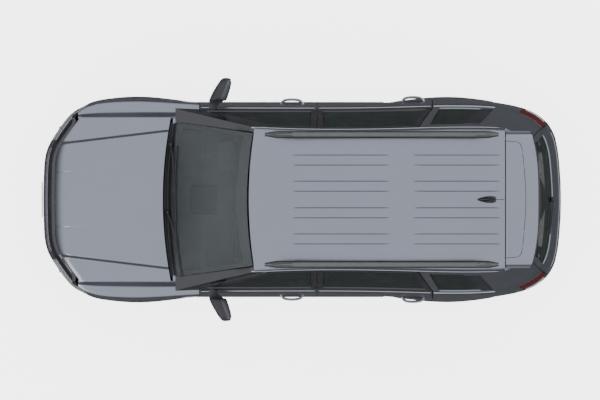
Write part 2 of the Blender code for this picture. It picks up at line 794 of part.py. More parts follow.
def front_bumper(plastic):
    arch = float(along_side(FRONT_AXLE + ARCH_RADIUS + 0.002))
    half = [0.0, 0.22, 0.43, 0.56, 0.70, 0.80]
    lengths = [float(across_nose(y)) for y in half] + [(float(across_nose(0.80)) + arch) / 2, arch]
    lengths = across(lengths)
    rows = [0.320, 0.385, 0.450, 0.560, 0.640, BUMPER_TOP - 0.004]
    outer = nose_grid(lengths, rows)
    for j, z in enumerate(rows):
        for end in (0, -1):
            x = arch_x(FRONT_AXLE, z, 1) + 0.004
            outer[j, end, 0] = x
            outer[j, end, 1] = math.copysign(side_y(x, z), outer[j, end, 1])
    inner = shrunk(outer, 0.045)
    keep = np.ones((len(rows) - 1, len(lengths) - 1), bool)
    middle = len(lengths) // 2
    keep[2, middle - 2 : middle + 2] = False
    return wall("front_bumper", outer, inner, plastic, keep)


def grille(plastic):
    lengths = across([float(across_nose(y)) for y in (0.0, 0.18, 0.36, 0.52, 0.555)])
    rows = [BUMPER_TOP, 0.735, 0.790, 0.815, 0.870, 0.895, 0.950, 0.980, 1.030]
    outer = nose_grid(lengths, rows)
    inner = shrunk(outer, 0.040)
    keep = np.ones((len(rows) - 1, len(lengths) - 1), bool)
    for slot in (1, 3, 5):
        keep[slot, 1:-1] = False
    return wall("grille", outer, inner, plastic, keep)


def headlamp(side, lens):
    start, end = float(across_nose(0.562)), float(along_side(2.050))
    lengths = [start + (end - start) * share for share in (0, 0.2, 0.4, 0.6, 0.8, 1.0)]
    rows = [BUMPER_TOP + 0.004, 0.790, 0.890, LAMP_TOP - 0.006]
    outer = nose_grid(lengths, rows)
    inner = shrunk(outer, 0.060)
    inner[:, -1, 0] = outer[:, -1, 0]
    return wall(named("headlamp", side), outer, inner, lens, None, side)


def front_number_plate(plate):
    low = (NOSE_FACE + 0.003, -PLATE_HALF, FRONT_PLATE_Z)
    return box("number_plate_front", low, (NOSE, PLATE_HALF, FRONT_PLATE_Z + PLATE_HEIGHT), plate)


# ---------------------------------------------------------------- tail
def tail_grid(half_widths, rows):
    points = np.array([[hull(across_tail(abs(y)), z) for y in half_widths] for z in rows])
    points[..., 1] *= np.sign([y if y else 1.0 for y in half_widths])
    return points


def tailgate(paint, glass):
    lanes = across((0.0, 0.26, 0.50, 0.655, TAILGATE_HALF))
    rows = [TAILGATE_BOTTOM, 0.800, 0.950, 1.080, 1.140, 1.185, 1.330, 1.480, 1.600, 1.700]
    outer = tail_grid(lanes, rows)
    outer[-1, :, 0] += 0.020
    depth = np.array([0.085] * 5 + [0.050] * 5)[:, None]
    inner = outer + np.stack([depth + 0 * outer[..., 0], 0 * outer[..., 0], 0 * outer[..., 0]], -1)
    keep = np.ones((len(rows) - 1, len(lanes) - 1), bool)
    keep[5:8, 1:-1] = False
    gate = wall("gate", outer, inner, paint, keep)

    half = []
    for y in (0.0, 0.25, 0.48, 0.60, SPOILER_HALF):
        trail = SPOILER_TRAIL + 0.075 * (y / SPOILER_HALF) ** 3
        lead = ROOF_REAR - PANEL_GAP
        xs = [lead + (trail - lead) * share for share in (0.0, 0.35, 0.8, 1.0)]
        half.append([(x, y, float(roof_z(x, y)) - (0.030 if y > 0.62 else 0.0)) for x in xs])
    left = np.array(half)
    top = np.concatenate([mirrored(left[:0:-1], -1), left])
    under = top - np.array([0.058, 0.052, 0.040, 0.030])[None, :, None] * np.array([0, 0, 1.0])
    spoiler = wall("spoiler", top, under, paint)
    whole = joined("tailgate", [gate, spoiler], paint)

    pane = outer[5:9, 1:-1].copy()
    middle = pane.reshape(-1, 3).mean(0)
    pane = middle + (pane - middle) * np.array([1.0, 0.996, 0.992])
    for line in pane:
        for point in line:
            s = across_tail(abs(point[1]) / (1 - SIDE_INSET(point[2]) / WAIST_HALF))
            point[0] = hull(s, point[2])[0] + GLASS_RECESS
    sheet = wall("tailgate_glass", pane, pane + np.array([GLASS, 0.0, 0.0]), glass)
    return whole, sheet


def rear_bumper(plastic):
    steps = [float(across_tail(y)) for y in (0.0, 0.25, 0.48, 0.708, 0.716, 0.80)]
    steps += [float(along_side(x)) for x in (-2.10, -1.95, REAR_AXLE - ARCH_RADIUS)]
    rows = [0.420, 0.480, 0.560, 0.640, None]
    half = np.zeros((len(rows), len(steps), 3))
    for j, row in enumerate(rows):
        for k, s in enumerate(steps):
            top = (REAR_BUMPER_SIDE_TOP if k > 3 else TAILGATE_BOTTOM) - PANEL_GAP
            z = top if row is None else row
            half[j, k] = hull(s, z)
        x = arch_x(REAR_AXLE, z, -1) - 0.004
        half[j, -1] = (x, side_y(x, z), z)
    outer = both_halves(half)
    return wall("rear_bumper", outer, shrunk(outer, 0.055), plastic)


def rear_number_plate(plate):
    """A blank plate just behind the tailgate's skin, between the tail lamps."""
    face = float(hull(across_tail(0.0), REAR_PLATE_Z + 0.010)[0]) - 0.002
    low = (face - PLATE_THICK, -PLATE_HALF, REAR_PLATE_Z)
    return box("number_plate_rear", low, (face, PLATE_HALF, REAR_PLATE_Z + PLATE_HEIGHT), plate)


def tail_lamp(side, lens):
    start, end = float(along_side(-2.104)), float(across_tail(0.716))
    lengths = [start + (end - start) * share for share in (0, 0.2, 0.45, 0.7, 0.9, 1.0)]
    rows = [TAIL_LAMP_BOTTOM + 0.004, 0.950, 1.050, TAIL_LAMP_TOP - 0.004]
    outer = nose_grid(lengths, rows)
    inner = outer.copy()
    for k, turn in enumerate((20, 35, 50, 65, 80, 88)):
        way = np.array([-math.sin(math.radians(turn)), math.cos(math.radians(turn)), 0.0])
        inner[:, k] = outer[:, k] - way * 0.060
    return wall(named("tail_lamp", side), outer, inner, lens, None, side)


# ---------------------------------------------------------------- wheels and running gear
def tyre(name, centre, rubber):
    half, outer, bead = TYRE_WIDTH / 2, TYRE_RADIUS, RIM_RADIUS + 0.004
    profile = [
        (bead, -half + 0.018), (bead + 0.05, -half), (outer - 0.045, -half + 0.002),
        (outer - 0.012, -half + 0.018), (outer, -half + 0.045), (outer, half - 0.045),
        (outer - 0.012, half - 0.018), (outer - 0.045, half - 0.002), (bead + 0.05, half),
        (bead, half - 0.018),
    ]
    return turned(name, profile, centre, rubber, 28)


def rim(name, centre, alloy, side):
    """Barrel, hub and spokes. The face is towards the side it is seen from."""
    half, wall_in = TYRE_WIDTH / 2 - 0.020, RIM_RADIUS - 0.022
    barrel = turned("barrel", [
        (RIM_RADIUS, -half), (RIM_RADIUS, half), (wall_in, half), (wall_in, -half),
    ], centre, alloy, 28)
    face = centre[1] + side * (half - 0.030)
    ends = [(centre[0], face + side * reach, centre[2]) for reach in (-0.030, 0.020)]
    pieces = [barrel, rod("hub", *ends, 0.062, alloy, 16)]
    for spoke in range(6):
        bar = box("spoke", (0.030, -0.014, -0.022), (wall_in + 0.008, 0.014, 0.022), alloy)
        turn = Matrix.Rotation(math.tau * spoke / 6, 4, "Y")
        bar.data.transform(Matrix.Translation((centre[0], face, centre[2])) @ turn)
        pieces.append(bar)
    return joined(name, pieces, alloy)


def knuckle(side, iron):
    """Steering knuckle with its brake disc, inside the wheel."""
    y = KINGPIN_Y * side
    low = (FRONT_AXLE - 0.045, y - 0.030, AXLE_Z - 0.120)
    upright = box("upright", low, (FRONT_AXLE + 0.045, y + 0.030, AXLE_Z + 0.120), iron)

    def at(out):
        return (FRONT_AXLE, y + side * out, AXLE_Z)

    hub = rod("hub", at(-0.020), at(0.100), 0.045, iron, 14)
    disc = rod("disc", at(0.040), at(0.060), 0.160, iron, 20)
    inner, outer = sorted((y, y - side * 0.020))
    low = (FRONT_AXLE - 0.150, inner - 0.015, AXLE_Z - 0.110)
    arm = box("arm", low, (FRONT_AXLE, outer + 0.015, AXLE_Z - 0.085), iron)
    return joined(named("front_knuckle", side), [upright, hub, disc, arm], iron)


def rear_axle(iron):
    reach = TRACK / 2 - 0.030
    pieces = [rod("tube", (REAR_AXLE, -reach, AXLE_Z), (REAR_AXLE, reach, AXLE_Z), 0.045, iron, 14)]
    bm = bmesh.new()
    bmesh.ops.create_icosphere(bm, subdivisions=2, radius=0.130)
    bmesh.ops.translate(bm, vec=(REAR_AXLE, 0, AXLE_Z), verts=bm.verts[:])
    pieces.append(store("diff", bm, iron))
    for side in (1, -1):
        y = side * (TRACK / 2 - 0.090)
        ends = (REAR_AXLE, y - 0.010, AXLE_Z), (REAR_AXLE, y + 0.010, AXLE_Z)
        pieces.append(rod("disc", *ends, 0.155, iron, 20))
        low = (REAR_AXLE - 0.060, side * 0.500 - 0.050, AXLE_Z - 0.020)
        high = (REAR_AXLE + 0.060, side * 0.500 + 0.050, AXLE_Z + 0.062)
        pieces.append(box("seat", low, high, iron))
    return joined("rear_axle", pieces, iron)


def rail_y(x):
    """Half-width of the ladder frame's rails, wider behind the cabin floor."""
    return REAR_RAIL_Y + (RAIL_Y - REAR_RAIL_Y) * float(ease(-1.05, -0.60, x))


def ladder_frame(iron):
    """Two rails with a kick-up over the rear axle, cross members and front arms."""
    stations = [
        (2.310, 0.430, 0.520), (1.320, 0.430, 0.520), (1.050, 0.310, 0.425), (0.000, 0.310, 0.425),
        (-0.600, 0.310, 0.425), (-0.820, 0.310, 0.425), (-1.080, 0.480, 0.585),
        (-1.600, 0.480, 0.585), (-2.338, 0.480, 0.585),
    ]
    low = [(x, rail_y(x), bottom) for x, bottom, _top in stations]
    high = [(x, rail_y(x), top) for x, _bottom, top in stations]
    rail = np.array([low, high])
    step = np.array([0.0, 0.035, 0.0])
    pieces = [wall("rail", rail + step, rail - step, iron, None, side) for side in (1, -1)]
    cross = [
        (2.250, 0.050, 0.440, 0.510), (FRONT_AXLE, 0.050, 0.285, 0.345), (0.850, 0.050, 0.315, 0.345),
        (0.150, 0.050, 0.315, 0.345), (-0.910, 0.045, 0.330, 0.368), (-1.535, 0.040, 0.572, 0.608),
        (-2.329, 0.007, 0.490, 0.575),
    ]
    for x, half, low, high in cross:
        reach = rail_y(x) - 0.005
        pieces.append(box("cross", (x - half, -reach, low), (x + half, reach, high), iron))
    for side in (1, -1):
        y = side * RAIL_Y
        low, high = sorted((y - side * 0.030, y + side * 0.030))
        drop = box("drop", (FRONT_AXLE - 0.045, low, 0.290), (FRONT_AXLE + 0.045, high, 0.440), iron)
        pieces.append(drop)
        for lean in (0.200, -0.200):
            start = (FRONT_AXLE + lean, y, 0.445)
            end = (FRONT_AXLE, side * (KINGPIN_Y - 0.075), 0.262)
            pieces.append(rod("arm", start, end, 0.022, iron, 8))
    return joined("ladder_frame", pieces, iron)


def arc(radius, first, last, steps):
    """Points of a side-view arc about the rear axle, its ends in degrees."""
    turns = np.radians(np.linspace(first, last, steps))
    return [(REAR_AXLE + radius * math.cos(a), AXLE_Z + radius * math.sin(a)) for a in turns]


def floor_pan(carpet):
    """Firewall, cabin floor, raised rear floor and the rear wheel boxes."""
    under, rear_under = FLOOR_Z - FLOOR_SHEET, REAR_FLOOR_Z - FLOOR_SHEET
    outline = [
        (FIREWALL, 1.030), (FIREWALL, under), (FLOOR_STEP, under), (FLOOR_STEP - 0.040, rear_under),
        (-2.240, rear_under), (-2.240, REAR_FLOOR_Z), (FLOOR_STEP - 0.015, REAR_FLOOR_Z),
        (FLOOR_STEP + 0.025, FLOOR_Z), (FIREWALL - 0.025, FLOOR_Z), (FIREWALL - 0.025, 1.030),
    ]
    inside = side_y(0, 0.5) - SIDE_WALL - 0.006
    pieces = [prism("pan", outline, -inside, inside, carpet)]
    tunnel = [(1.010, 0.450), (1.010, 0.640), (-0.100, 0.560), (-0.100, 0.450)]
    pieces.append(prism("tunnel", tunnel, -0.155, 0.155, carpet))
    for side in (1, -1):
        low, high = sorted((side * WHEEL_BOX_IN, side * WHEEL_BOX_OUT))
        pieces.append(prism("wheel_box", arc(WHEEL_BOX_RADIUS, 25, 155, 9), low, high, carpet))
    whole = joined("floor_pan", pieces, carpet)
    hollow = [(1.040, 0.400), (1.040, 0.618), (-0.075, 0.538), (-0.130, 0.400)]
    boolean(whole, prism("hollow", hollow, -0.135, 0.135), "DIFFERENCE")
    for side in (1, -1):
        low, high = sorted((side * (WHEEL_BOX_IN + 0.023), side * 0.900))
        radius = WHEEL_SPACE_RADIUS
        inner = [(REAR_AXLE + radius, 0.300), *arc(radius, 0, 180, 13), (REAR_AXLE - radius, 0.300)]
        boolean(whole, prism("wheel_space", inner, low, high), "DIFFERENCE")
    return whole


def engine_and_gearbox(iron):
    block = box("block", (1.180, -0.250, 0.480), (1.860, 0.250, 0.960), iron)
    sump = box("sump", (1.180, -0.180, 0.360), (1.480, 0.180, 0.500), iron)
    gearbox = box("gearbox", (0.300, -0.115, 0.380), (1.200, 0.115, 0.520), iron)
    shaft = rod("shaft", (0.320, 0.0, 0.405), (-1.208, 0.0, 0.405), 0.030, iron, 10)
    return joined("engine_and_gearbox", [block, sump, gearbox, shaft], iron)


def exhaust(steel):
    """Front pipe, silencer, and a tail pipe that climbs over the axle."""
    route = [
        (1.020, -0.300, 0.380), (0.600, -0.290, 0.380), (-0.300, -0.285, 0.380),
        (-0.750, -0.300, 0.380), (-0.960, -0.340, 0.450), (-1.120, -0.395, 0.528),
        (-1.490, -0.398, 0.528), (-1.620, -0.410, 0.435), (-1.780, -0.575, 0.410),
        (-2.370, -0.600, 0.385),
    ]
    pieces = [pipe("pipe", route, 0.026, steel)]
    pieces.append(box("silencer", (-0.800, -0.360, 0.300), (-0.250, -0.200, 0.420), steel, 0.03))
    return joined("exhaust", pieces, steel)


# ---------------------------------------------------------------- cabin
def seat(name, hip, low_y, high_y, base, cushion, back, fabric, heads):
    """Cushion and leaning backrest in one, with a head restraint at each place in heads."""
    outline = [
        (hip + 0.33, base), (hip + 0.35, cushion - 0.02), (hip + 0.30, cushion + 0.015),
        (hip - 0.06, cushion - 0.025), (hip - 0.21, back - 0.03), (hip - 0.25, back),
        (hip - 0.32, back - 0.03), (hip - 0.22, cushion - 0.08), (hip - 0.16, base),
    ]
    pieces = [prism("body", outline, low_y, high_y, fabric)]
    for y in heads:
        head = [
            (hip - 0.225, back - 0.05), (hip - 0.225, back + 0.17), (hip - 0.270, back + 0.20),
            (hip - 0.320, back + 0.17), (hip - 0.300, back - 0.05),
        ]
        pieces.append(prism("head", head, y - 0.125, y + 0.125, fabric))
    return joined(name, pieces, fabric)


def dashboard(plastic):
    outline = [
        (0.985, 0.760), (0.985, 1.100), (0.900, 1.135), (0.660, 1.110), (0.600, 1.040),
        (0.640, 0.900), (0.700, 0.760),
    ]
    bulk = prism("bulk", outline, -0.655, 0.655, plastic)
    outline = [
        (0.800, 0.640), (0.800, 0.950), (0.580, 0.900), (0.420, 0.760), (-0.200, 0.780),
        (-0.200, 0.590), (0.050, 0.600),
    ]
    console = prism("console", outline, -0.120, 0.120, plastic)
    return joined("dashboard", [bulk, console], plastic)


WHEEL_HUB = Vector((0.480, -0.400, 1.040))
WHEEL_AXIS = Vector((-math.cos(math.radians(24)), 0.0, math.sin(math.radians(24))))


def steering_wheel(leather):
    turns = np.linspace(0, math.tau, 7)[:-1]
    profile = [(0.184 + 0.015 * math.cos(a), 0.015 * math.sin(a)) for a in turns]
    pieces = [turned("ring", profile, (0, 0, 0), leather, 24, "Z")]
    pieces.append(rod("boss", (0, 0, -0.020), (0, 0, 0.022), 0.060, leather, 14))
    for turn in (0, math.pi, -math.pi / 2):
        bar = box("bar", (0.030, -0.022, -0.008), (0.182, 0.022, 0.008), leather)
        bar.data.transform(Matrix.Rotation(turn, 4, "Z"))
        pieces.append(bar)
    pieces.append(rod("column", (0, 0, -0.070), (0, 0, -0.010), 0.028, leather, 12))
    whole = joined("steering_wheel", pieces, leather)
    turn = WHEEL_AXIS.to_track_quat("Z", "Y").to_matrix().to_4x4()
    whole.data.transform(Matrix.Translation(WHEEL_HUB) @ turn)
    return whole


# ---------------------------------------------------------------- fittings
def mirror(side, plastic):
    """Door mirror: a foot on the door's front corner and a swept head."""
    (rear, bottom), (front, top) = MIRROR_FOOT
    foot = box("foot", (rear, 0.0, bottom), (front, 1.0, top), plastic)
    for vert in foot.data.vertices:
        x, y, z = vert.co
        if y > 0.5:
            vert.co.y = MIRROR_ROOT + 0.020
        else:
            vert.co.y = skin_y(x, z, 1.120, GLASS_BOTTOM) + TOUCH
    outline = [(x, y + MIRROR_ROOT) for x, y in MIRROR_HEAD]
    bm = bmesh.new()
    face = bm.faces.new([bm.verts.new((x, y, MIRROR_BOTTOM)) for x, y in outline])
    grown = bmesh.ops.extrude_face_region(bm, geom=[face])["geom"]
    moved = [item for item in grown if isinstance(item, bmesh.types.BMVert)]
    bmesh.ops.translate(bm, vec=(0, 0, MIRROR_HEIGHT), verts=moved)
    whole = joined(named("door_mirror", side), [foot, store("head", bm, plastic)], plastic)
    if side < 0:
        flipped = bmesh.new()
        flipped.from_mesh(whole.data)
        bmesh.ops.scale(flipped, vec=(1, -1, 1), verts=flipped.verts[:])
        bmesh.ops.recalc_face_normals(flipped, faces=flipped.faces[:])
        flipped.to_mesh(whole.data)
        flipped.free()
    return whole


def roof_rail(side, alloy):
    """A raised rail on three feet, with a straight flat top for cross bars."""
    low, high = sorted((side * 0.592, side * 0.630))
    top = HEIGHT

    def rests(x):
        return float(roof_z(x, 0.592)) + 0.002

    outline = [
        (0.330, rests(0.330)), (0.290, 1.775), (0.200, top - 0.012), (0.120, top), (-1.640, top),
        (-1.730, top - 0.014), (-1.830, rests(-1.830)), (-1.740, rests(-1.740)),
        (-1.640, top - 0.032), (0.120, top - 0.032), (0.200, 1.775), (0.230, rests(0.230)),
    ]
    pieces = [prism("beam", outline, low, high, alloy)]
    foot = (-0.760, low + 0.004, rests(-0.720)), (-0.680, high - 0.004, top - 0.020)
    pieces.append(box("foot", *foot, alloy))
    return joined(named("roof_rail", side), pieces, alloy)


def clear_scene():
    for thing in list(bpy.data.objects):
        bpy.data.objects.remove(thing)


def build():
    clear_scene()
    paint = material("body_paint", (0.30, 0.32, 0.37), 0.32, 0.55)
    dark = material("dark_plastic", (0.03, 0.03, 0.035), 0.55)
    glass = material("tinted_glass", (0.05, 0.06, 0.06), 0.05, 0.0, 0.35)
    rubber = material("rubber", (0.02, 0.02, 0.02), 0.85)
    alloy = material("alloy", (0.45, 0.46, 0.48), 0.30, 0.9)
    iron = material("chassis_black", (0.04, 0.04, 0.045), 0.6, 0.4)
    steel = material("exhaust_steel", (0.40, 0.38, 0.35), 0.45, 0.9)
    fabric = material("seat_fabric", (0.05, 0.05, 0.055), 0.9)
    trim = material("cabin_trim", (0.10, 0.11, 0.11), 0.75)
    lamp = material("clear_lens", (0.75, 0.78, 0.80), 0.05)
    red = material("red_lens", (0.45, 0.02, 0.02), 0.12)
    plate = material("plate_white", (0.85, 0.85, 0.83), 0.4)

    for side in (1, -1):
        body_side(side, paint, glass)
        front_fender(side, paint)
        headlamp(side, lamp)
        tail_lamp(side, red)
        roof_rail(side, alloy)

        hinge_y = side * (side_y(DOOR_FRONT, 0.62) - HINGE_DEPTH)
        place = (DOOR_FRONT - HINGE_SETBACK, hinge_y, DOOR_HINGE_Z)
        hinge = pivot(named("front_door_hinge", side), place)
        for piece in (*front_door(side, paint, glass), mirror(side, dark)):
            hang(piece, hinge)
        hinge_y = side * (side_y(PILLAR_B, 0.62) - HINGE_DEPTH)
        place = (PILLAR_B - PANEL_GAP / 2 - HINGE_SETBACK, hinge_y, DOOR_HINGE_Z)
        hinge = pivot(named("rear_door_hinge", side), place)
        for piece in rear_door(side, paint, glass):
            hang(piece, hinge)

        kingpin = pivot(named("kingpin", side), (FRONT_AXLE, side * KINGPIN_Y, AXLE_Z))
        hang(knuckle(side, iron), kingpin)
        for end, axle in (("front", FRONT_AXLE), ("rear", REAR_AXLE)):
            centre = (axle, side * TRACK / 2, AXLE_Z)
            hub = pivot(named(f"{end}_hub", side), centre)
            hang(tyre(named(f"{end}_tyre", side), centre, rubber), hub)
            hang(rim(named(f"{end}_rim", side), centre, alloy, side), hub)

    hinge = pivot("hood_hinge", (1.226, 0.0, 1.150))
    hang(hood(paint), hinge)
    hinge = pivot("tailgate_hinge", (ROOF_REAR - PANEL_GAP / 2, 0.0, 1.760))
    for piece in (*tailgate(paint, glass), rear_number_plate(plate)):
        hang(piece, hinge)
    wheel = pivot("steering_column", WHEEL_HUB)
    hang(steering_wheel(trim), wheel)

    roof_panel(paint)
    windscreen(glass)
    cowl_panel(dark)
    front_bumper(dark)
    grille(dark)
    front_number_plate(plate)
    rear_bumper(dark)
    rear_axle(iron)
    ladder_frame(iron)
    floor_pan(trim)
    engine_and_gearbox(iron)
    exhaust(steel)
    box("fuel_tank", (-0.720, 0.100, 0.270), (-0.020, 0.345, 0.412), iron, 0.03)
    profile = [(0.060, -0.040), (0.200, -0.090), (0.365, -0.100), (0.380, -0.080), (0.380, 0.080)]
    profile += [(0.365, 0.100), (0.060, 0.040)]
    turned("spare_wheel", profile, (SPARE_X, 0.0, 0.464), rubber, 28, "Z")
    dashboard(trim)
    for side in (1, -1):
        low, high = sorted((side * FRONT_SEAT_IN, side * FRONT_SEAT_OUT))
        levels = FLOOR_Z + 0.015, 0.760, 1.330
        seat(named("front_seat", side), FRONT_HIP, low, high, *levels, fabric, ((low + high) / 2,))
    half = WHEEL_BOX_IN - 0.007
    levels = REAR_FLOOR_Z + 0.015, 0.820, 1.370
    seat("second_row_seat", SECOND_HIP, -half, half, *levels, fabric, (-0.400, 0.0, 0.400))
    half = WHEEL_BOX_IN - 0.055
    levels = REAR_FLOOR_Z + 0.015, 0.810, 1.270
    seat("third_row_seat", THIRD_HIP, -half, half, *levels, fabric, (-0.270, 0.270))


build()
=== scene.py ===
"""Looks for the full-size seven-seat SUV: panels, glass, lamps, wheels and cabin."""

import logging
import math
from dataclasses import dataclass, field
from enum import Enum
from typing import Callable, Optional, Sequence, Union

import bpy
import numpy as np
from mathutils import Matrix, Vector


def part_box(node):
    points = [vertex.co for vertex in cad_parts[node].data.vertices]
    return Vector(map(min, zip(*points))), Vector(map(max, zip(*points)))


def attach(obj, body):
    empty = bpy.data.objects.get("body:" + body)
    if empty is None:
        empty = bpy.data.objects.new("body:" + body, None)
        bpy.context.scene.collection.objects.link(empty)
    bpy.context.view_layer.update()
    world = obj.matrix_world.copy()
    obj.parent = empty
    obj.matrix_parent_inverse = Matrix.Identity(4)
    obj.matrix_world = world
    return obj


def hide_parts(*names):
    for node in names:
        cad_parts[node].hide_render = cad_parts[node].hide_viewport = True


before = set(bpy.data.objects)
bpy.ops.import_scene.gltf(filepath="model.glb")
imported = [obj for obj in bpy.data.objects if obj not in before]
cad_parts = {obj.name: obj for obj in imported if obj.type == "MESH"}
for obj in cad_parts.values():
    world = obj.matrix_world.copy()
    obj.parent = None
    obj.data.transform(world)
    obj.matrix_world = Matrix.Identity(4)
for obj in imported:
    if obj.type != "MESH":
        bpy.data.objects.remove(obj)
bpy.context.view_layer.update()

logging.basicConfig(level=logging.INFO, format="%(message)s")
LOG = logging.getLogger("suv")

Point = Sequence[float]
Line = Callable[[float], float]
Level = Union[float, Line]
Value = Union[float, np.ndarray]
Parts = Union[int, Sequence[int]]
Object = bpy.types.Object
OUTWARD = np.array([0.0, 1.0, 0.0])


def spline(points: Sequence[Point]) -> Callable[..., np.ndarray]:
    """A natural cubic through (t, value) pairs.

    Args:
        points: the pairs, in rising t.

    Returns:
        A function of t, held at its end values.
    """
    t, y = (np.array(column, float) for column in zip(*points))
    count, step = len(t), np.diff(t)
    system, right = np.eye(count), np.zeros(count)
    for k in range(1, count - 1):
        system[k, k - 1 : k + 2] = step[k - 1], 2 * (step[k - 1] + step[k]), step[k]
        right[k] = 6 * ((y[k + 1] - y[k]) / step[k] - (y[k] - y[k - 1]) / step[k - 1])
    bend = np.linalg.solve(system, right)

    def value(at: Value) -> np.ndarray:
        """The curve's value at t.

        Args:
            at: where the curve is read.

        Returns:
            The value there.
        """
        at = np.clip(np.asarray(at, float), t[0], t[-1])
        k = np.clip(np.searchsorted(t, at, side="right") - 1, 0, count - 2)
        a, b, h = t[k + 1] - at, at - t[k], step[k]
        cubic = (bend[k] * a**3 + bend[k + 1] * b**3) / (6 * h)
        return cubic + (y[k] / h - bend[k] * h / 6) * a + (y[k + 1] / h - bend[k + 1] * h / 6) * b

    return value


def ease(low: float, high: float, value: Value) -> np.ndarray:
    """0 below low, 1 above high and smooth between."""
    share = np.clip((np.asarray(value, float) - low) / (high - low), 0, 1)
    return share * share * (3 - 2 * share)


def mirrored(points: np.ndarray, side: float) -> np.ndarray:
    """Points of the left side, or the same on the right for side -1."""
    return np.asarray(points, float) * np.array([1.0, side, 1.0])


def both_halves(left: np.ndarray) -> np.ndarray:
    """Rows of points from the centre line to the left, with their mirror images before them."""
    return np.concatenate([mirrored(left[:, :0:-1], -1), left], axis=1)


def shares(parts: Parts, cells: int) -> np.ndarray:
    """Where a finer grid's lines lie among a coarse one's, counted in coarse cells.

    Args:
        parts: how many cells each coarse cell becomes, one number for all or one for each.
        cells: how many coarse cells there are.

    Returns:
        The lines' places.
    """
    parts = [parts] * cells if isinstance(parts, int) else list(parts)
    spots = [cell + k / count for cell, count in enumerate(parts) for k in range(count)]
    return np.array(spots + [float(cells)])


def denser(lines: Sequence[Level], parts: Parts) -> list[Line]:
    """Grid lines with more of them between each neighbouring pair.

    Args:
        lines: numbers, or functions of the other coordinate.
        parts: how many cells each cell becomes, one number for all or one for each.

    Returns:
        The lines as functions of the other coordinate.
    """
    calls = [line if callable(line) else (lambda _at, value=line: value) for line in lines]
    out = []
    for spot in shares(parts, len(calls) - 1):
        k = min(int(spot), len(calls) - 2)
        out.append(lambda at, a=calls[k], b=calls[k + 1], t=spot - k: a(at) * (1 - t) + b(at) * t)
    return out


def finer(values: Sequence[float], parts: Parts) -> np.ndarray:
    """Numbers with more of them, evenly, between each neighbouring pair."""
    spots = shares(parts, len(values) - 1)
    return np.interp(spots, range(len(values)), values)


def crowded(plain: Sequence[float], marks: Sequence[float], reach: float) -> np.ndarray:
    """Rising grid lines with three close together at each mark and no plain one near it."""
    kept = [value for value in plain if min(abs(value - mark) for mark in marks) > 2 * reach]
    return np.array(sorted(kept + [mark + step * reach for mark in marks for step in (-1, 0, 1)]))


def spread(keep: np.ndarray, rows: Sequence[int], columns: Sequence[int]) -> np.ndarray:
    """A coarse grid's mask of cells for the finer grid."""
    return np.repeat(np.repeat(keep, rows, axis=0), columns, axis=1)


def blended(values: np.ndarray, rows: Sequence[int], columns: Sequence[int]) -> np.ndarray:
    """A coarse grid's values, or vectors, read evenly at the finer grid's points.

    Args:
        values: the coarse grid, with a number or a vector at each point.
        rows: how many rows of cells each coarse row becomes.
        columns: the same for its columns.

    Returns:
        The finer grid.
    """
    for axis, parts in ((0, rows), (1, columns)):
        spots = shares(parts, values.shape[axis] - 1)
        low = np.minimum(spots.astype(int), values.shape[axis] - 2)
        share = (spots - low).reshape([-1 if k == axis else 1 for k in range(values.ndim)])
        first, second = np.take(values, low, axis), np.take(values, low + 1, axis)
        values = first * (1 - share) + second * share
    return values


def grid_normals(points: np.ndarray) -> np.ndarray:
    """Unit normals of a grid of points, by central differences.

    Args:
        points: the grid, rows by columns.

    Returns:
        A grid of unit vectors.
    """
    across, up = np.gradient(points, axis=1), np.gradient(points, axis=0)
    normal = np.cross(across, up)
    return normal / np.maximum(np.linalg.norm(normal, axis=-1, keepdims=True), 1e-9)


def moved(points: np.ndarray, depth: Value, towards: Point) -> np.ndarray:
    """The grid moved by depth along its normals, to the side that towards points.

    Args:
        points: the grid.
        depth: how far, one number or one for each point.
        towards: a vector that points to the side to move to.

    Returns:
        The moved grid.
    """
    normal = grid_normals(points)
    facing = np.sign(np.mean(normal @ np.asarray(towards, float)))
    return points + normal * facing * np.asarray(np.broadcast_to(depth, points.shape[:2]))[..., None]


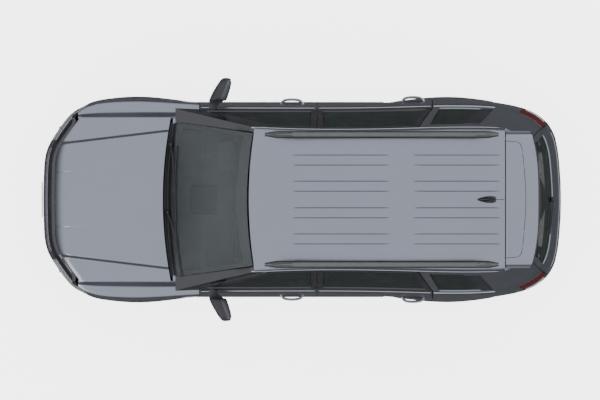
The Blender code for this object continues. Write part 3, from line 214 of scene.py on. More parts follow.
@dataclass(frozen=True)
class BodyForm:
    """The outer form of the body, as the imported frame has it, in metres."""

    front_axle: float = 1.552
    rear_axle: float = -1.348
    axle_z: float = 0.394
    waist: float = 0.932
    flare_out: float = 0.034
    arch: float = 0.455
    gap: float = 0.008
    frame_wall: float = 0.045
    glass_in: float = 0.010
    glass: float = 0.005
    sill: float = 0.285
    door_bottom: float = 0.375
    belt: float = 1.175
    glass_bottom: float = 1.200
    frame_width: float = 0.055
    door_lead: float = 0.957
    pillar_b: float = -0.146
    door_trail: float = -1.231
    pillar_rise: float = 0.634
    hood_half: float = 0.775
    bumper_top: float = 0.6865
    lamp_top: float = 0.985
    tail_lamp: tuple[float, float] = (0.860, 1.145)
    bumper_side_top: float = 0.788
    gate_bottom: float = 0.700
    gate_half: float = 0.705
    roof_rear: float = -1.910
    corner_top: float = 1.605
    spoiler_half: float = 0.645
    spoiler_trail: float = -2.235
    outline: tuple[tuple[float, float], ...] = (
        (2.443, 0.0), (2.438, 0.25), (2.408, 0.47), (2.292, 0.67), (2.165, 0.822), (2.020, 0.897),
        (1.800, 0.926), (1.552, 0.932), (1.250, 0.926), (0.950, 0.914), (0.500, 0.909),
        (0.000, 0.908), (-0.500, 0.910), (-0.950, 0.919), (-1.348, 0.929), (-1.750, 0.920),
        (-2.000, 0.890), (-2.200, 0.822), (-2.330, 0.715), (-2.405, 0.560), (-2.440, 0.330),
        (-2.457, 0.0),
    )
    side_in: Callable[..., np.ndarray] = spline((
        (0.250, 0.045), (0.340, 0.022), (0.450, 0.006), (0.600, 0.000), (0.850, 0.000),
        (0.980, 0.006), (1.060, 0.020), (1.120, 0.040), (1.175, 0.064), (1.300, 0.108),
        (1.450, 0.162), (1.600, 0.218), (1.720, 0.264), (1.850, 0.310),
    ))
    nose_in: Callable[..., np.ndarray] = spline((
        (0.250, 0.100), (0.350, 0.040), (0.470, 0.006), (0.600, 0.000), (0.690, 0.006),
        (0.760, 0.022), (0.900, 0.034), (1.000, 0.056), (1.060, 0.100), (1.120, 0.160),
    ))
    tail_in: Callable[..., np.ndarray] = spline((
        (0.380, 0.070), (0.480, 0.010), (0.600, 0.000), (0.700, 0.010), (0.850, 0.018),
        (1.000, 0.024), (1.100, 0.044), (1.180, 0.086), (1.300, 0.120), (1.640, 0.218),
        (1.800, 0.262),
    ))
    hood_crown: Callable[..., np.ndarray] = spline((
        (1.200, 1.190), (1.306, 1.184), (1.600, 1.166), (1.900, 1.145), (2.150, 1.116),
        (2.280, 1.090), (2.340, 1.062),
    ))
    roof_crown: Callable[..., np.ndarray] = spline((
        (-2.250, 1.706), (-2.080, 1.735), (-1.910, 1.757), (-1.500, 1.783), (-0.900, 1.795),
        (-0.300, 1.785), (0.200, 1.753), (0.495, 1.712),
    ))
    roof_edge: Callable[..., np.ndarray] = spline((
        (-2.000, 1.650), (-1.910, 1.660), (-1.400, 1.690), (-0.700, 1.702), (0.000, 1.692),
        (0.440, 1.652),
    ))
    plan: dict = field(default_factory=dict)

    def __post_init__(self) -> None:
        """Lays the outline out by its length from the nose's centre."""
        line = list(self.outline)
        around = [(x, -y) for x, y in line[2:0:-1]] + line + [(x, -y) for x, y in line[-2:-4:-1]]
        steps = np.cumsum([0.0] + [math.dist(a, b) for a, b in zip(around, around[1:])])
        steps = steps - steps[2]
        self.plan["x"] = spline([(s, p[0]) for s, p in zip(steps, around)])
        self.plan["y"] = spline([(s, p[1]) for s, p in zip(steps, around)])
        self.plan["s"] = np.linspace(0, steps[-3], 1500)
        self.plan["dense_x"] = self.plan["x"](self.plan["s"])
        self.plan["dense_y"] = self.plan["y"](self.plan["s"])

    def along_side(self, x: Value) -> np.ndarray:
        """Outline length at which the side reaches x."""
        return np.interp(-np.asarray(x, float), -self.plan["dense_x"], self.plan["s"])

    def across_nose(self, y: float) -> float:
        """Outline length at which the front reaches half-width y."""
        return float(np.interp(y, self.plan["dense_y"][:200], self.plan["s"][:200]))

    def across_tail(self, y: float) -> float:
        """Outline length at which the rear reaches half-width y."""
        return float(np.interp(y, self.plan["dense_y"][::-1][:200], self.plan["s"][::-1][:200]))

    def flare(self, x: np.ndarray, z: np.ndarray) -> np.ndarray:
        """How far the wheel arches push the side out.

        Args:
            x: place along the body.
            z: height.

        Returns:
            The distance outwards.
        """
        out = 0.0
        for axle in (self.front_axle, self.rear_axle):
            share = np.clip(np.abs(x - axle) / 0.64, 0, 1)
            out = out + self.flare_out * 0.5 * (1 + np.cos(np.pi * share))
        return out * (1 - ease(0.84, 1.08, z))

    def hull(self, s: Value, z: Value) -> np.ndarray:
        """The point of the left body surface at outline length s and height z.

        Args:
            s: outline length from the nose's centre.
            z: height.

        Returns:
            The points, with x, y and z on the last axis.
        """
        x, y = self.plan["x"](s), self.plan["y"](s)
        inset = np.maximum(0, np.where(x > 0, self.nose_in(z), self.tail_in(z)))
        x = x - np.sign(x) * inset * ease(1.75, 2.25, np.abs(x))
        y = y * (1 - self.side_in(z) / self.waist)
        return np.stack(np.broadcast_arrays(x, y + self.flare(x, z) * (y > 0.5), z), -1)

    def side_y(self, x: Value, z: Value) -> np.ndarray:
        """Half-width of the body at x and z."""
        return self.hull(self.along_side(x), z)[..., 1]

    def roof_z(self, x: Value, y: Value) -> np.ndarray:
        """Height of the roof's skin."""
        return self.roof_crown(x) - 0.045 * (np.abs(y) / 0.66) ** 2.4

    def dome_line(self, x: Value) -> np.ndarray:
        """Half-width at which the hood's raised middle ends."""
        return 0.523 + 0.123 * np.clip((2.30 - np.asarray(x, float)) / 1.03, 0, 1)

    def hood_z(self, x: Value, y: Value) -> np.ndarray:
        """Height of the hood's skin.

        Args:
            x: place along the hood.
            y: distance from the centre line.

        Returns:
            The height.
        """
        y = np.abs(y)
        rise = 0.028 * (1 - ease(-0.018, 0.020, y - self.dome_line(x))) * ease(1.0, 0.93, x / 2.34)
        return self.hood_crown(x) - 0.055 * (y / self.hood_half) ** 2.2 + rise

    def hood_rear(self, y: Value) -> np.ndarray:
        """The hood's rear edge."""
        return 1.306 - 0.076 * (np.abs(y) / self.hood_half) ** 2

    def hood_front(self, y: Value) -> np.ndarray:
        """The hood's front edge."""
        reach = np.minimum(np.abs(y) * 1.02, 0.80)
        return self.plan["x"](np.interp(reach, self.plan["dense_y"][:200], self.plan["s"][:200])) - 0.117

    def door_front(self, z: float) -> float:
        """The front door's leading edge, upright and then along the pillar."""
        return self.door_lead - max(0.0, z - 1.235) / self.pillar_rise

    def door_rear(self, z: float) -> float:
        """The rear door's trailing edge, round the wheel arch and then leaning.

        Args:
            z: height.

        Returns:
            The edge's x.
        """
        radius = self.arch + 0.085
        if z < self.axle_z + radius:
            return max(self.door_trail, self.rear_axle + math.sqrt(radius**2 - (z - self.axle_z) ** 2))
        return self.door_trail + max(0.0, z - self.belt) * 0.274

    def door_top(self, x: float) -> float:
        """The doors' top edge."""
        return float(self.roof_edge(x)) - self.gap

    def arch_x(self, axle: float, z: float, way: int) -> float:
        """The wheel arch's edge at height z; way is 1 ahead of the axle, -1 behind."""
        rise = min(max(0.0, z - self.axle_z), self.arch * math.sin(math.radians(80)))
        return axle + way * math.sqrt(self.arch**2 - rise**2)

    def pillar_line(self, z: float) -> float:
        """The windscreen's edge in side view."""
        return 1.165 - (z - 1.190) / self.pillar_rise

    def side_grid(self, columns: Sequence[Level], rows: Sequence[Level]) -> np.ndarray:
        """Points of the side for columns x(z) and rows z(x).

        Args:
            columns: functions of height, or x values.
            rows: functions of x, or heights.

        Returns:
            A grid of points, rows by columns.
        """
        spots = np.zeros((len(rows), len(columns), 2))
        for j, row in enumerate(rows):
            for i, column in enumerate(columns):
                x = 0.0
                for _ in range(6):
                    z = row(x) if callable(row) else row
                    x = column(z) if callable(column) else column
                spots[j, i] = x, z
        return self.hull(self.along_side(spots[..., 0]), spots[..., 1])

    def nose_grid(self, lengths: Sequence[float], rows: Sequence[float]) -> np.ndarray:
        """Points for outline lengths, negative on the right, and heights.

        Args:
            lengths: outline lengths from the nose's centre.
            rows: heights.

        Returns:
            A grid of points, rows by lengths.
        """
        s, z = np.meshgrid(np.asarray(lengths, float), np.asarray(rows, float))
        points = self.hull(np.abs(s), z)
        points[..., 1] *= np.where(s < 0, -1.0, 1.0)
        return points

    def tail_grid(self, lanes: Sequence[float], rows: Sequence[float]) -> np.ndarray:
        """Points of the tail for half-widths, negative on the right, and heights."""
        return self.nose_grid([math.copysign(self.across_tail(abs(y)), y) for y in lanes], rows)


FORM = BodyForm()


def both(values: Sequence[float]) -> list[float]:
    """The values with their mirror images, from right to left."""
    return sorted({-v for v in values} | set(values))


def side_name(base: str, side: float) -> str:
    """The name of a piece on the left or right."""
    return f"{base}_{'left' if side > 0 else 'right'}"


class Bench:
    """Blender's own operators, used as by hand on one piece at a time."""

    @staticmethod
    def take(piece: Object) -> None:
        """Selects this piece alone and makes it active.

        Args:
            piece: the piece.
        """
        Bench.clear()
        piece.select_set(True)
        bpy.context.view_layer.objects.active = piece

    @staticmethod
    def clear() -> None:
        """Deselects everything, the frame's nodes included."""
        for item in bpy.context.selected_objects:
            item.select_set(False)

    @staticmethod
    def edit(piece: Object, *steps: Callable[[], object]) -> Object:
        """Runs steps on the piece in edit mode, one after another.

        Args:
            piece: the piece.
            *steps: what is done, in order.

        Returns:
            The same piece.
        """
        Bench.take(piece)
        bpy.ops.object.mode_set(mode="EDIT")
        for step in steps:
            step()
        bpy.ops.object.mode_set(mode="OBJECT")
        return piece

    @staticmethod
    def pick(piece: Object, chosen: np.ndarray) -> None:
        """Selects the chosen faces of a piece for the next edit.

        Args:
            piece: the piece.
            chosen: for each face, whether it is selected.
        """
        bpy.context.tool_settings.mesh_select_mode = (False, False, True)
        mesh = piece.data
        mesh.vertices.foreach_set("select", np.zeros(len(mesh.vertices), bool))
        mesh.edges.foreach_set("select", np.zeros(len(mesh.edges), bool))
        mesh.polygons.foreach_set("select", np.asarray(chosen, bool))

    @staticmethod
    def corners(piece: Object) -> np.ndarray:
        """The piece's vertices as an array.

        Args:
            piece: the piece.

        Returns:
            One row for each vertex.
        """
        points = np.empty(len(piece.data.vertices) * 3, np.float32)
        piece.data.vertices.foreach_get("co", points)
        return points.reshape(-1, 3)

    @staticmethod
    def place(piece: Object, points: np.ndarray) -> Object:
        """Puts the piece's vertices at these points.

        Args:
            piece: the piece.
            points: one row for each vertex.

        Returns:
            The same piece.
        """
        piece.data.vertices.foreach_set("co", np.asarray(points, np.float32).ravel())
        piece.data.update()
        return piece

    @staticmethod
    def outward(piece: Object) -> Object:
        """Turns a closed piece's faces outwards.

        Args:
            piece: the piece.

        Returns:
            The same piece.
        """
        select, out = bpy.ops.mesh.select_all, bpy.ops.mesh.normals_make_consistent
        Bench.edit(piece, lambda: select(action="SELECT"), lambda: out(inside=False))
        piece.data.calc_loop_triangles()
        points = Bench.corners(piece).astype(float)
        index = np.empty(len(piece.data.loop_triangles) * 3, np.int32)
        piece.data.loop_triangles.foreach_get("vertices", index)
        if np.linalg.det(points[index.reshape(-1, 3)]).sum() < 0:
            Bench.edit(piece, lambda: select(action="SELECT"), lambda: bpy.ops.mesh.flip_normals())
        return piece

    @staticmethod
    def refine(piece: Object, bevel: float = 0.0, segments: int = 2, angle: float = 32.0,
               levels: int = 0) -> Object:
        """Finishes a piece with applied modifiers and smooth faces.

        Args:
            piece: the piece.
            bevel: width of the rounded edges, or 0 for none.
            segments: steps in each rounded edge.
            angle: edges sharper than this, in degrees, are rounded and kept crisp.
            levels: subdivision levels, or 0 for none.

        Returns:
            The same piece.
        """
        Bench.take(piece)
        if bevel:
            change = piece.modifiers.new("edges", "BEVEL")
            change.width, change.segments, change.limit_method = bevel, segments, "ANGLE"
            change.angle_limit = math.radians(angle)
            bpy.ops.object.modifier_apply(modifier=change.name)
        if levels:
            change = piece.modifiers.new("form", "SUBSURF")
            change.levels = change.render_levels = levels
            bpy.ops.object.modifier_apply(modifier=change.name)
        bpy.ops.object.shade_smooth_by_angle(angle=math.radians(angle))
        return piece

    @staticmethod
    def named(piece: Object, name: str) -> Object:
        """Names the piece and its mesh."""
        piece.name = piece.data.name = name
        return piece

    @staticmethod
    def wall(name: str, outer: np.ndarray, inner: np.ndarray, keep: Optional[np.ndarray] = None,
             side: float = 1, bevel: float = 0.0015, segments: int = 1) -> Object:
        """A closed panel between two grids of points.

        Args:
            name: the piece's name.
            outer: the outer grid, rows by columns.
            inner: the inner grid of the same shape.
            keep: the cells that are kept, or None for all.
            side: 1 as given, -1 mirrored to the right.
            bevel: width of its rounded edges.
            segments: steps in each rounded edge.

        Returns:
            The finished piece.
        """
        rows, columns = outer.shape[:2]
        Bench.clear()
        bpy.ops.mesh.primitive_grid_add(x_subdivisions=columns - 1, y_subdivisions=rows - 1, size=1.0)
        piece = Bench.named(bpy.context.active_object, name)
        order = piece.data.attributes.new("order", "INT", "POINT")
        order.data.foreach_set("value", np.arange(rows * columns, dtype=np.int32))
        if keep is not None:
            Bench.pick(piece, ~np.asarray(keep, bool).ravel())
            Bench.edit(piece, lambda: bpy.ops.mesh.delete(type="FACE"))
        Bench.pick(piece, np.ones(len(piece.data.polygons), bool))
        Bench.edit(piece, lambda: bpy.ops.mesh.extrude_region())
        count = len(piece.data.vertices)
        index, fresh = np.empty(count, np.int32), np.empty(count, bool)
        piece.data.attributes["order"].data.foreach_get("value", index)
        piece.data.vertices.foreach_get("select", fresh)
        piece.data.attributes.remove(piece.data.attributes["order"])
        sheets = [mirrored(grid, side).reshape(-1, 3)[index] for grid in (outer, inner)]
        Bench.place(piece, np.where(fresh[:, None], sheets[1], sheets[0]))
        return Bench.refine(Bench.outward(piece), bevel, segments)

    @staticmethod
    def block(name: str, low: Point, high: Point, bevel: float = 0.004, segments: int = 2,
              top: tuple[float, float] = (1.0, 1.0), inset: float = 0.0, sink: float = 0.0) -> Object:
        """A rounded block, with its top drawn in and, if wanted, a recess sunk in that top.

        Args:
            name: the piece's name.
            low: its lowest corner.
            high: its highest corner.
            bevel: width of its rounded edges.
            segments: steps in each rounded edge.
            top: how much of its x and y size the top keeps.
            inset: width of the rim round the recess.
            sink: depth of the recess.

        Returns:
            The finished piece.
        """
        Bench.clear()
        low, high = Vector(low), Vector(high)
        middle = (low + high) / 2
        bpy.ops.mesh.primitive_cube_add(size=1.0, location=middle, scale=high - low)
        piece = Bench.named(bpy.context.active_object, name)
        bpy.ops.object.transform_apply(location=True, rotation=True, scale=True)
        Bench.pick(piece, [face.normal.z > 0.9 for face in piece.data.polygons])
        steps = [lambda: bpy.ops.transform.resize(
            value=(top[0], top[1], 1.0), center_override=(middle.x, middle.y, high.z))]
        if inset:
            steps += [
                lambda: bpy.ops.mesh.inset(thickness=inset),
                lambda: bpy.ops.transform.translate(value=(0, 0, -sink)),
            ]
        return Bench.refine(Bench.outward(Bench.edit(piece, *steps)), bevel, segments)

    @staticmethod
    def prism(name: str, outline: Sequence[Point], low: float, high: float, axis: str = "Y",
              bevel: float = 0.003, segments: int = 2) -> Object:
        """An outline extruded along an axis.

        Args:
            name: the piece's name.
            outline: points on the two other axes, in the order x, y, z.
            low: where it starts along the axis.
            high: where it ends.
            axis: the letter of the axis.
            bevel: width of its rounded edges.
            segments: steps in each rounded edge.

        Returns:
            The finished piece.
        """
        Bench.clear()
        bpy.ops.mesh.primitive_circle_add(vertices=len(outline), radius=1.0, fill_type="NGON")
        piece = Bench.named(bpy.context.active_object, name)
        k = "XYZ".index(axis)
        Bench.place(piece, np.insert(np.array(outline, float), k, low, axis=1))
        way = [0.0, 0.0, 0.0]
        way[k] = high - low
        move = {"value": tuple(way)}
        Bench.pick(piece, np.ones(len(piece.data.polygons), bool))
        Bench.edit(piece, lambda: bpy.ops.mesh.extrude_region_move(TRANSFORM_OT_translate=move))
        return Bench.refine(Bench.outward(piece), bevel, segments)

    @staticmethod
    def turned(name: str, profile: Sequence[Point], centre: Point, axis: str = "Y", steps: int = 48,
               bevel: float = 0.0, angle: float = 32.0) -> Object:
        """A closed profile of (radius, distance along the axis), spun round that axis.

        Args:
            name: the piece's name.
            profile: the points of the profile, in order.
            centre: the point on the axis from which distances count.
            axis: the letter of the axis.
            steps: how many steps the turn has.
            bevel: width of its rounded edges.
            angle: edges sharper than this, in degrees, stay crisp.

        Returns:
            The finished piece.
        """
        Bench.clear()
        bpy.ops.mesh.primitive_circle_add(vertices=len(profile), radius=1.0, fill_type="NOTHING")
        piece = Bench.named(bpy.context.active_object, name)
        k = "XYZ".index(axis)
        ring = np.zeros((len(profile), 3))
        ring[:, k] = [p[1] for p in profile]
        ring[:, (k + 1) % 3] = [p[0] for p in profile]
        Bench.place(piece, ring + np.array(centre))
        way = tuple(1.0 if i == k else 0.0 for i in range(3))
        Bench.edit(
            piece, lambda: bpy.ops.mesh.select_all(action="SELECT"),
            lambda: bpy.ops.mesh.spin(steps=steps, angle=math.tau, center=tuple(centre), axis=way),
            lambda: bpy.ops.mesh.select_all(action="SELECT"),
            lambda: bpy.ops.mesh.remove_doubles(threshold=0.0001),
        )
        return Bench.refine(Bench.outward(piece), bevel, 1, angle)

    @staticmethod
    def tube(name: str, route: Sequence[Point], radius: float, flat: float = 1.0, smooth: bool = True,
             closed: bool = False) -> Object:
        """A round or flattened bar along a route.

        Args:
            name: the piece's name.
            route: the points it passes.
            radius: its half thickness.
            flat: how much of that the bar keeps in height.
            smooth: whether it curves between its points.
            closed: whether its ends meet.

        Returns:
            The finished piece.
        """
        Bench.clear()
        curve = bpy.data.curves.new(name, "CURVE")
        curve.dimensions, curve.bevel_depth, curve.bevel_resolution = "3D", radius, 2
        curve.use_fill_caps = True
        curve.resolution_u = 6
        strand = curve.splines.new("NURBS" if smooth else "POLY")
        strand.points.add(len(route) - 1)
        strand.points.foreach_set("co", np.insert(np.array(route, float), 3, 1.0, axis=1).ravel())
        if smooth:
            strand.order_u, strand.use_endpoint_u = 4, not closed
        strand.use_cyclic_u = closed
        piece = bpy.data.objects.new(name, curve)
        bpy.context.scene.collection.objects.link(piece)
        Bench.take(piece)
        bpy.ops.object.convert(target="MESH")
        piece = Bench.named(bpy.context.active_object, name)
        if flat != 1.0:
            points, line = Bench.corners(piece), np.array(route, float)
            near = np.argmin(((points[:, None, :2] - line[None, :, :2]) ** 2).sum(-1), axis=1)
            base = line[near, 2]
            points[:, 2] = base + (points[:, 2] - base) * flat
            Bench.place(piece, points)
        return Bench.refine(Bench.outward(piece))

    @staticmethod
    def copy(piece: Object, name: str, change: Matrix) -> Object:
        """A copy with a mesh of its own, placed by a matrix.

        Args:
            piece: what is copied.
            name: the copy's name.
            change: how the copy is moved from the piece's place.

        Returns:
            The copy.
        """
        made = bpy.data.objects.new(name, piece.data.copy())
        made.data.name = name
        bpy.context.scene.collection.objects.link(made)
        made.data.transform(change)
        return Bench.outward(made) if change.determinant() < 0 else made

    @staticmethod
    def joined(name: str, pieces: Sequence[Object]) -> Object:
        """Several pieces of one finish made into one mesh.

        Args:
            name: the name of the whole.
            pieces: what is joined.

        Returns:
            The joined piece.
        """
        Bench.clear()
        for piece in pieces:
            piece.select_set(True)
        bpy.context.view_layer.objects.active = pieces[0]
        bpy.ops.object.join()
        return Bench.named(pieces[0], name)


def spun(centre: Point, turn: float, axis: str = "Y") -> Matrix:
    """The matrix of a turn, in radians, about an axis through a point."""
    shift = Matrix.Translation(centre)
    return shift @ Matrix.Rotation(turn, 4, axis) @ shift.inverted()


class Sum:
    """A shader value that takes part in Python expressions."""

    def __init__(self, tree: "Shade", socket: object) -> None:
        """Wraps a socket, or a plain number, of a material's nodes."""
        self.tree, self.socket = tree, socket

    def _with(self, kind: str, other: Union["Sum", float], swap: bool = False) -> "Sum":
        """A Math node on this value and another.

        Args:
            kind: the node's operation.
            other: the other value.
            swap: whether the other value comes first.

        Returns:
            The result.
        """
        pair = [self.socket, other.socket if isinstance(other, Sum) else other]
        if swap:
            pair.reverse()
        return self.tree.node("ShaderNodeMath", {"operation": kind}, {0: pair[0], 1: pair[1]})

    def __add__(self, other: Union["Sum", float]) -> "Sum":
        """This value plus another."""
        return self._with("ADD", other)

    def __sub__(self, other: Union["Sum", float]) -> "Sum":
        """This value less another."""
        return self._with("SUBTRACT", other)

    def __rsub__(self, other: float) -> "Sum":
        """A number less this value."""
        return self._with("SUBTRACT", other, True)

    def __mul__(self, other: Union["Sum", float]) -> "Sum":
        """This value times another."""
        return self._with("MULTIPLY", other)

    __radd__, __rmul__ = __add__, __mul__

    def ramp(self, low: float, high: float, start: float = 0.0, end: float = 1.0) -> "Sum":
        """This value carried smoothly from low..high to start..end.

        Args:
            low: where the change starts.
            high: where it ends.
            start: the result below low.
            end: the result above high.

        Returns:
            The result.
        """
        return self.tree.node(
            "ShaderNodeMapRange", {"interpolation_type": "SMOOTHSTEP"},
            {"Value": self.socket, "From Min": low, "From Max": high, "To Min": start, "To Max": end},
        )

    def sine(self) -> "Sum":
        """The sine of this value."""
        return self._with("SINE", 0.0)


class Shade:
    """A material's nodes."""

    def __init__(self, name: str) -> None:
        """Makes the material with its plain shader.

        Args:
            name: the material's name.
        """
        self.material = bpy.data.materials.new(name)
        self.material.use_nodes = True
        self.tree = self.material.node_tree
        self.shader = self.tree.nodes["Principled BSDF"]

    def node(self, kind: str, settings: dict, sockets: dict, out: Union[int, str] = 0) -> Sum:
        """Any node.

        Args:
            kind: its type.
            settings: its properties, set first.
            sockets: values or links of its inputs, by name or number.
            out: the output that is used.

        Returns:
            The output as a value for expressions.
        """
        made = self.tree.nodes.new(kind)
        for key, value in settings.items():
            setattr(made, key, value)
        for key, value in sockets.items():
            self.feed(made.inputs[key], value)
        return Sum(self, made.outputs[out])

    def feed(self, socket: object, value: object) -> None:
        """Sets a socket to a number or colour, or links it.

        Args:
            socket: the input.
            value: what goes into it.
        """
        value = value.socket if isinstance(value, Sum) else value
        if isinstance(value, bpy.types.NodeSocket):
            self.tree.links.new(value, socket)
        else:
            socket.default_value = value

    def spot(self, scale: Point = (1.0, 1.0, 1.0)) -> Sum:
        """Object coordinates, stretched by scale."""
        where = self.node("ShaderNodeTexCoord", {}, {}, "Object")
        return self.node("ShaderNodeMapping", {}, {"Vector": where, "Scale": tuple(scale)})

    def noise(self, scale: float, detail: float = 2.0, stretch: Point = (1.0, 1.0, 1.0)) -> Sum:
        """Cloudy noise in object space."""
        place = {"Vector": self.spot(stretch), "Scale": scale, "Detail": detail}
        return self.node("ShaderNodeTexNoise", {}, place)

    def cells(self, scale: float) -> Sum:
        """Distances to scattered points in object space."""
        return self.node("ShaderNodeTexVoronoi", {}, {"Vector": self.spot(), "Scale": scale})

    def wave(self, scale: float, axis: str, stretch: Point = (1.0, 1.0, 1.0)) -> Sum:
        """Even stripes across an axis in object space.

        Args:
            scale: how fine the stripes are.
            axis: the letter of the axis.
            stretch: how much each axis is stretched.

        Returns:
            The stripes' height.
        """
        return self.node(
            "ShaderNodeTexWave", {"bands_direction": axis}, {"Vector": self.spot(stretch), "Scale": scale}
        )

    def mix(self, share: Sum, first: Point, second: Point) -> Sum:
        """Two colours mixed by a share.

        Args:
            share: 0 for the first colour, 1 for the second.
            first: a colour.
            second: another colour.

        Returns:
            The mixed colour.
        """
        return self.node(
            "ShaderNodeMix", {"data_type": "RGBA"},
            {"Factor": share, 6: (*first, 1.0), 7: (*second, 1.0)}, 2,
        )

    def bump(self, height: Sum, depth: float) -> None:
        """Raises the surface by height times depth, in metres."""
        normal = self.node("ShaderNodeBump", {}, {"Height": height, "Distance": depth}, 0)
        self.feed(self.shader.inputs["Normal"], normal)

    def set(self, **values: object) -> "Shade":
        """Sets the shader's sockets, with _ for a space in their names.

        Args:
            **values: numbers, colours or links by socket name.

        Returns:
            The same shade.
        """
        for key, value in values.items():
            self.feed(self.shader.inputs[key.replace("_", " ")], value)
        return self


class Grain(Enum):
    """How a finish varies over its surface."""

    FLAKE = "metal flakes under clear coat"
    MOULDED = "fine moulded grain"
    LEATHER = "soft leather grain"
    WEAVE = "woven cloth"
    CAST = "cast or painted iron"
    BRUSHED = "machined metal"
    SMOOTH = "polished, with faint dust"
    RUBBER = "rubber"
    FLUTED = "lens optics"


@dataclass(frozen=True)
class Finish:
    """One finish: a colour, a second colour that it varies to, and its grain."""

    name: str
    slot: str
    colour: tuple[float, float, float]
    second: tuple[float, float, float]
    grain: Grain
    roughness: float
    metallic: float = 0.0
    coat: float = 0.0
    alpha: float = 1.0
    glow: float = 0.0
    shine: float = 0.5

    def made(self) -> bpy.types.Material:
        """The material, made once and kept."""
        return bpy.data.materials.get(self.name) or self._make()

    def _make(self) -> bpy.types.Material:
        """Builds the material's nodes.

        Returns:
            The material.
        """
        shade = Shade(self.name)
        rough = self.roughness
        if self.grain is Grain.FLAKE:
            cloud, flake = shade.noise(2.2, 3.0), shade.cells(1400.0)
            share = flake.ramp(0.1, 0.9) * 0.75 + cloud * 0.25
            shade.set(Base_Color=shade.mix(share, self.colour, self.second))
            shade.set(Roughness=cloud * 0.06 + (rough - 0.03))
            shade.bump(shade.noise(260.0, 1.0), 0.00004)
        elif self.grain is Grain.MOULDED:
            grit, cloud = shade.noise(900.0, 2.0), shade.noise(5.0, 2.0)
            shade.set(Base_Color=shade.mix(cloud.ramp(0.3, 0.7), self.colour, self.second))
            shade.set(Roughness=grit * 0.16 + (rough - 0.08))
            shade.bump(grit, 0.00025)
        elif self.grain is Grain.LEATHER:
            creases, cloud = shade.cells(420.0), shade.noise(9.0, 3.0)
            shade.set(Base_Color=shade.mix(cloud.ramp(0.3, 0.7), self.colour, self.second))
            shade.set(Roughness=creases.ramp(0.0, 0.7) * 0.18 + (rough - 0.06))
            shade.bump(creases.ramp(0.0, 0.55), 0.0005)
        elif self.grain is Grain.WEAVE:
            warp, weft = shade.wave(420.0, "Y"), shade.wave(420.0, "X", (1.0, 1.0, 1.0))
            rise = shade.wave(420.0, "Z")
            cloth = warp * weft + rise * 0.5
            cloud = shade.noise(14.0, 3.0)
            shade.set(Base_Color=shade.mix(cloth * 0.6 + cloud * 0.4, self.colour, self.second))
            shade.set(Roughness=cloud * 0.1 + (rough - 0.05), Sheen_Weight=0.35)
            shade.bump(cloth, 0.0005)
        elif self.grain is Grain.CAST:
            pits, cloud = shade.noise(160.0, 4.0), shade.noise(6.0, 4.0)
            shade.set(Base_Color=shade.mix(cloud.ramp(0.35, 0.75), self.colour, self.second))
            shade.set(Roughness=pits * 0.25 + (rough - 0.12))
            shade.bump(pits, 0.0006)
        elif self.grain is Grain.BRUSHED:
            lines, cloud = shade.noise(300.0, 2.0, (1.0, 8.0, 1.0)), shade.noise(12.0, 2.0)
            shade.set(Base_Color=shade.mix(cloud, self.colour, self.second))
            shade.set(Roughness=lines * 0.14 + (rough - 0.07))
            shade.bump(lines, 0.00006)
        elif self.grain is Grain.RUBBER:
            dust, grit = shade.noise(18.0, 4.0), shade.noise(700.0, 1.0)
            shade.set(Base_Color=shade.mix(dust.ramp(0.45, 0.85), self.colour, self.second))
            shade.set(Roughness=dust * 0.15 + (rough - 0.07))
            shade.bump(grit, 0.0003)
        elif self.grain is Grain.FLUTED:
            flutes = shade.wave(90.0, "Z")
            shade.set(Base_Color=shade.mix(flutes, self.colour, self.second), Roughness=rough)
            shade.bump(flutes, 0.0006)
        else:
            dust = shade.noise(7.0, 3.0)
            shade.set(Base_Color=shade.mix(dust.ramp(0.4, 0.9), self.colour, self.second))
            shade.set(Roughness=dust.ramp(0.4, 0.9) * 0.05 + rough)
        shade.set(Metallic=self.metallic, Coat_Weight=self.coat, Coat_Roughness=0.05)
        shade.set(Specular_IOR_Level=self.shine)
        if self.alpha < 1:
            shade.set(Alpha=self.alpha)
        if self.glow:
            shade.set(Emission_Color=(*self.second, 1.0), Emission_Strength=self.glow)
        return shade.material


PAINT = Finish("silver_lilac_paint", "body_paint", (0.175, 0.185, 0.214), (0.250, 0.262, 0.300),
               Grain.FLAKE, 0.30, metallic=0.92, coat=0.6)
BLACK = Finish("satin_black_plastic", "dark_plastic", (0.012, 0.012, 0.014), (0.022, 0.022, 0.025),
               Grain.MOULDED, 0.52)
GLOSS = Finish("piano_black_plastic", "dark_plastic", (0.008, 0.008, 0.010), (0.014, 0.014, 0.016),
               Grain.SMOOTH, 0.10, coat=0.6)
GREY = Finish("grey_moulded_plastic", "dark_plastic", (0.045, 0.047, 0.050), (0.065, 0.067, 0.070),
              Grain.MOULDED, 0.42)
BRIGHT = Finish("satin_bright_trim", "alloy", (0.34, 0.34, 0.37), (0.46, 0.46, 0.50),
                Grain.BRUSHED, 0.20, metallic=1.0)
RAIL = Finish("rail_grey_alloy", "alloy", (0.100, 0.110, 0.105), (0.130, 0.142, 0.136),
              Grain.BRUSHED, 0.36, metallic=0.7, shine=0.2)
ALLOY = Finish("wheel_alloy", "alloy", (0.36, 0.37, 0.40), (0.52, 0.53, 0.56),
               Grain.BRUSHED, 0.26, metallic=0.95, coat=0.3)
STEEL = Finish("disc_steel", "exhaust_steel", (0.30, 0.29, 0.28), (0.45, 0.44, 0.42),
               Grain.BRUSHED, 0.32, metallic=1.0)
IRON = Finish("chassis_iron", "chassis_black", (0.016, 0.016, 0.018), (0.035, 0.033, 0.032),
              Grain.CAST, 0.60, metallic=0.35)
TYRE = Finish("tread_rubber", "tyre_rubber", (0.014, 0.014, 0.015), (0.034, 0.033, 0.032),
              Grain.RUBBER, 0.82)
SEAL = Finish("seal_rubber", "tyre_rubber", (0.010, 0.010, 0.011), (0.018, 0.018, 0.018),
              Grain.RUBBER, 0.70)
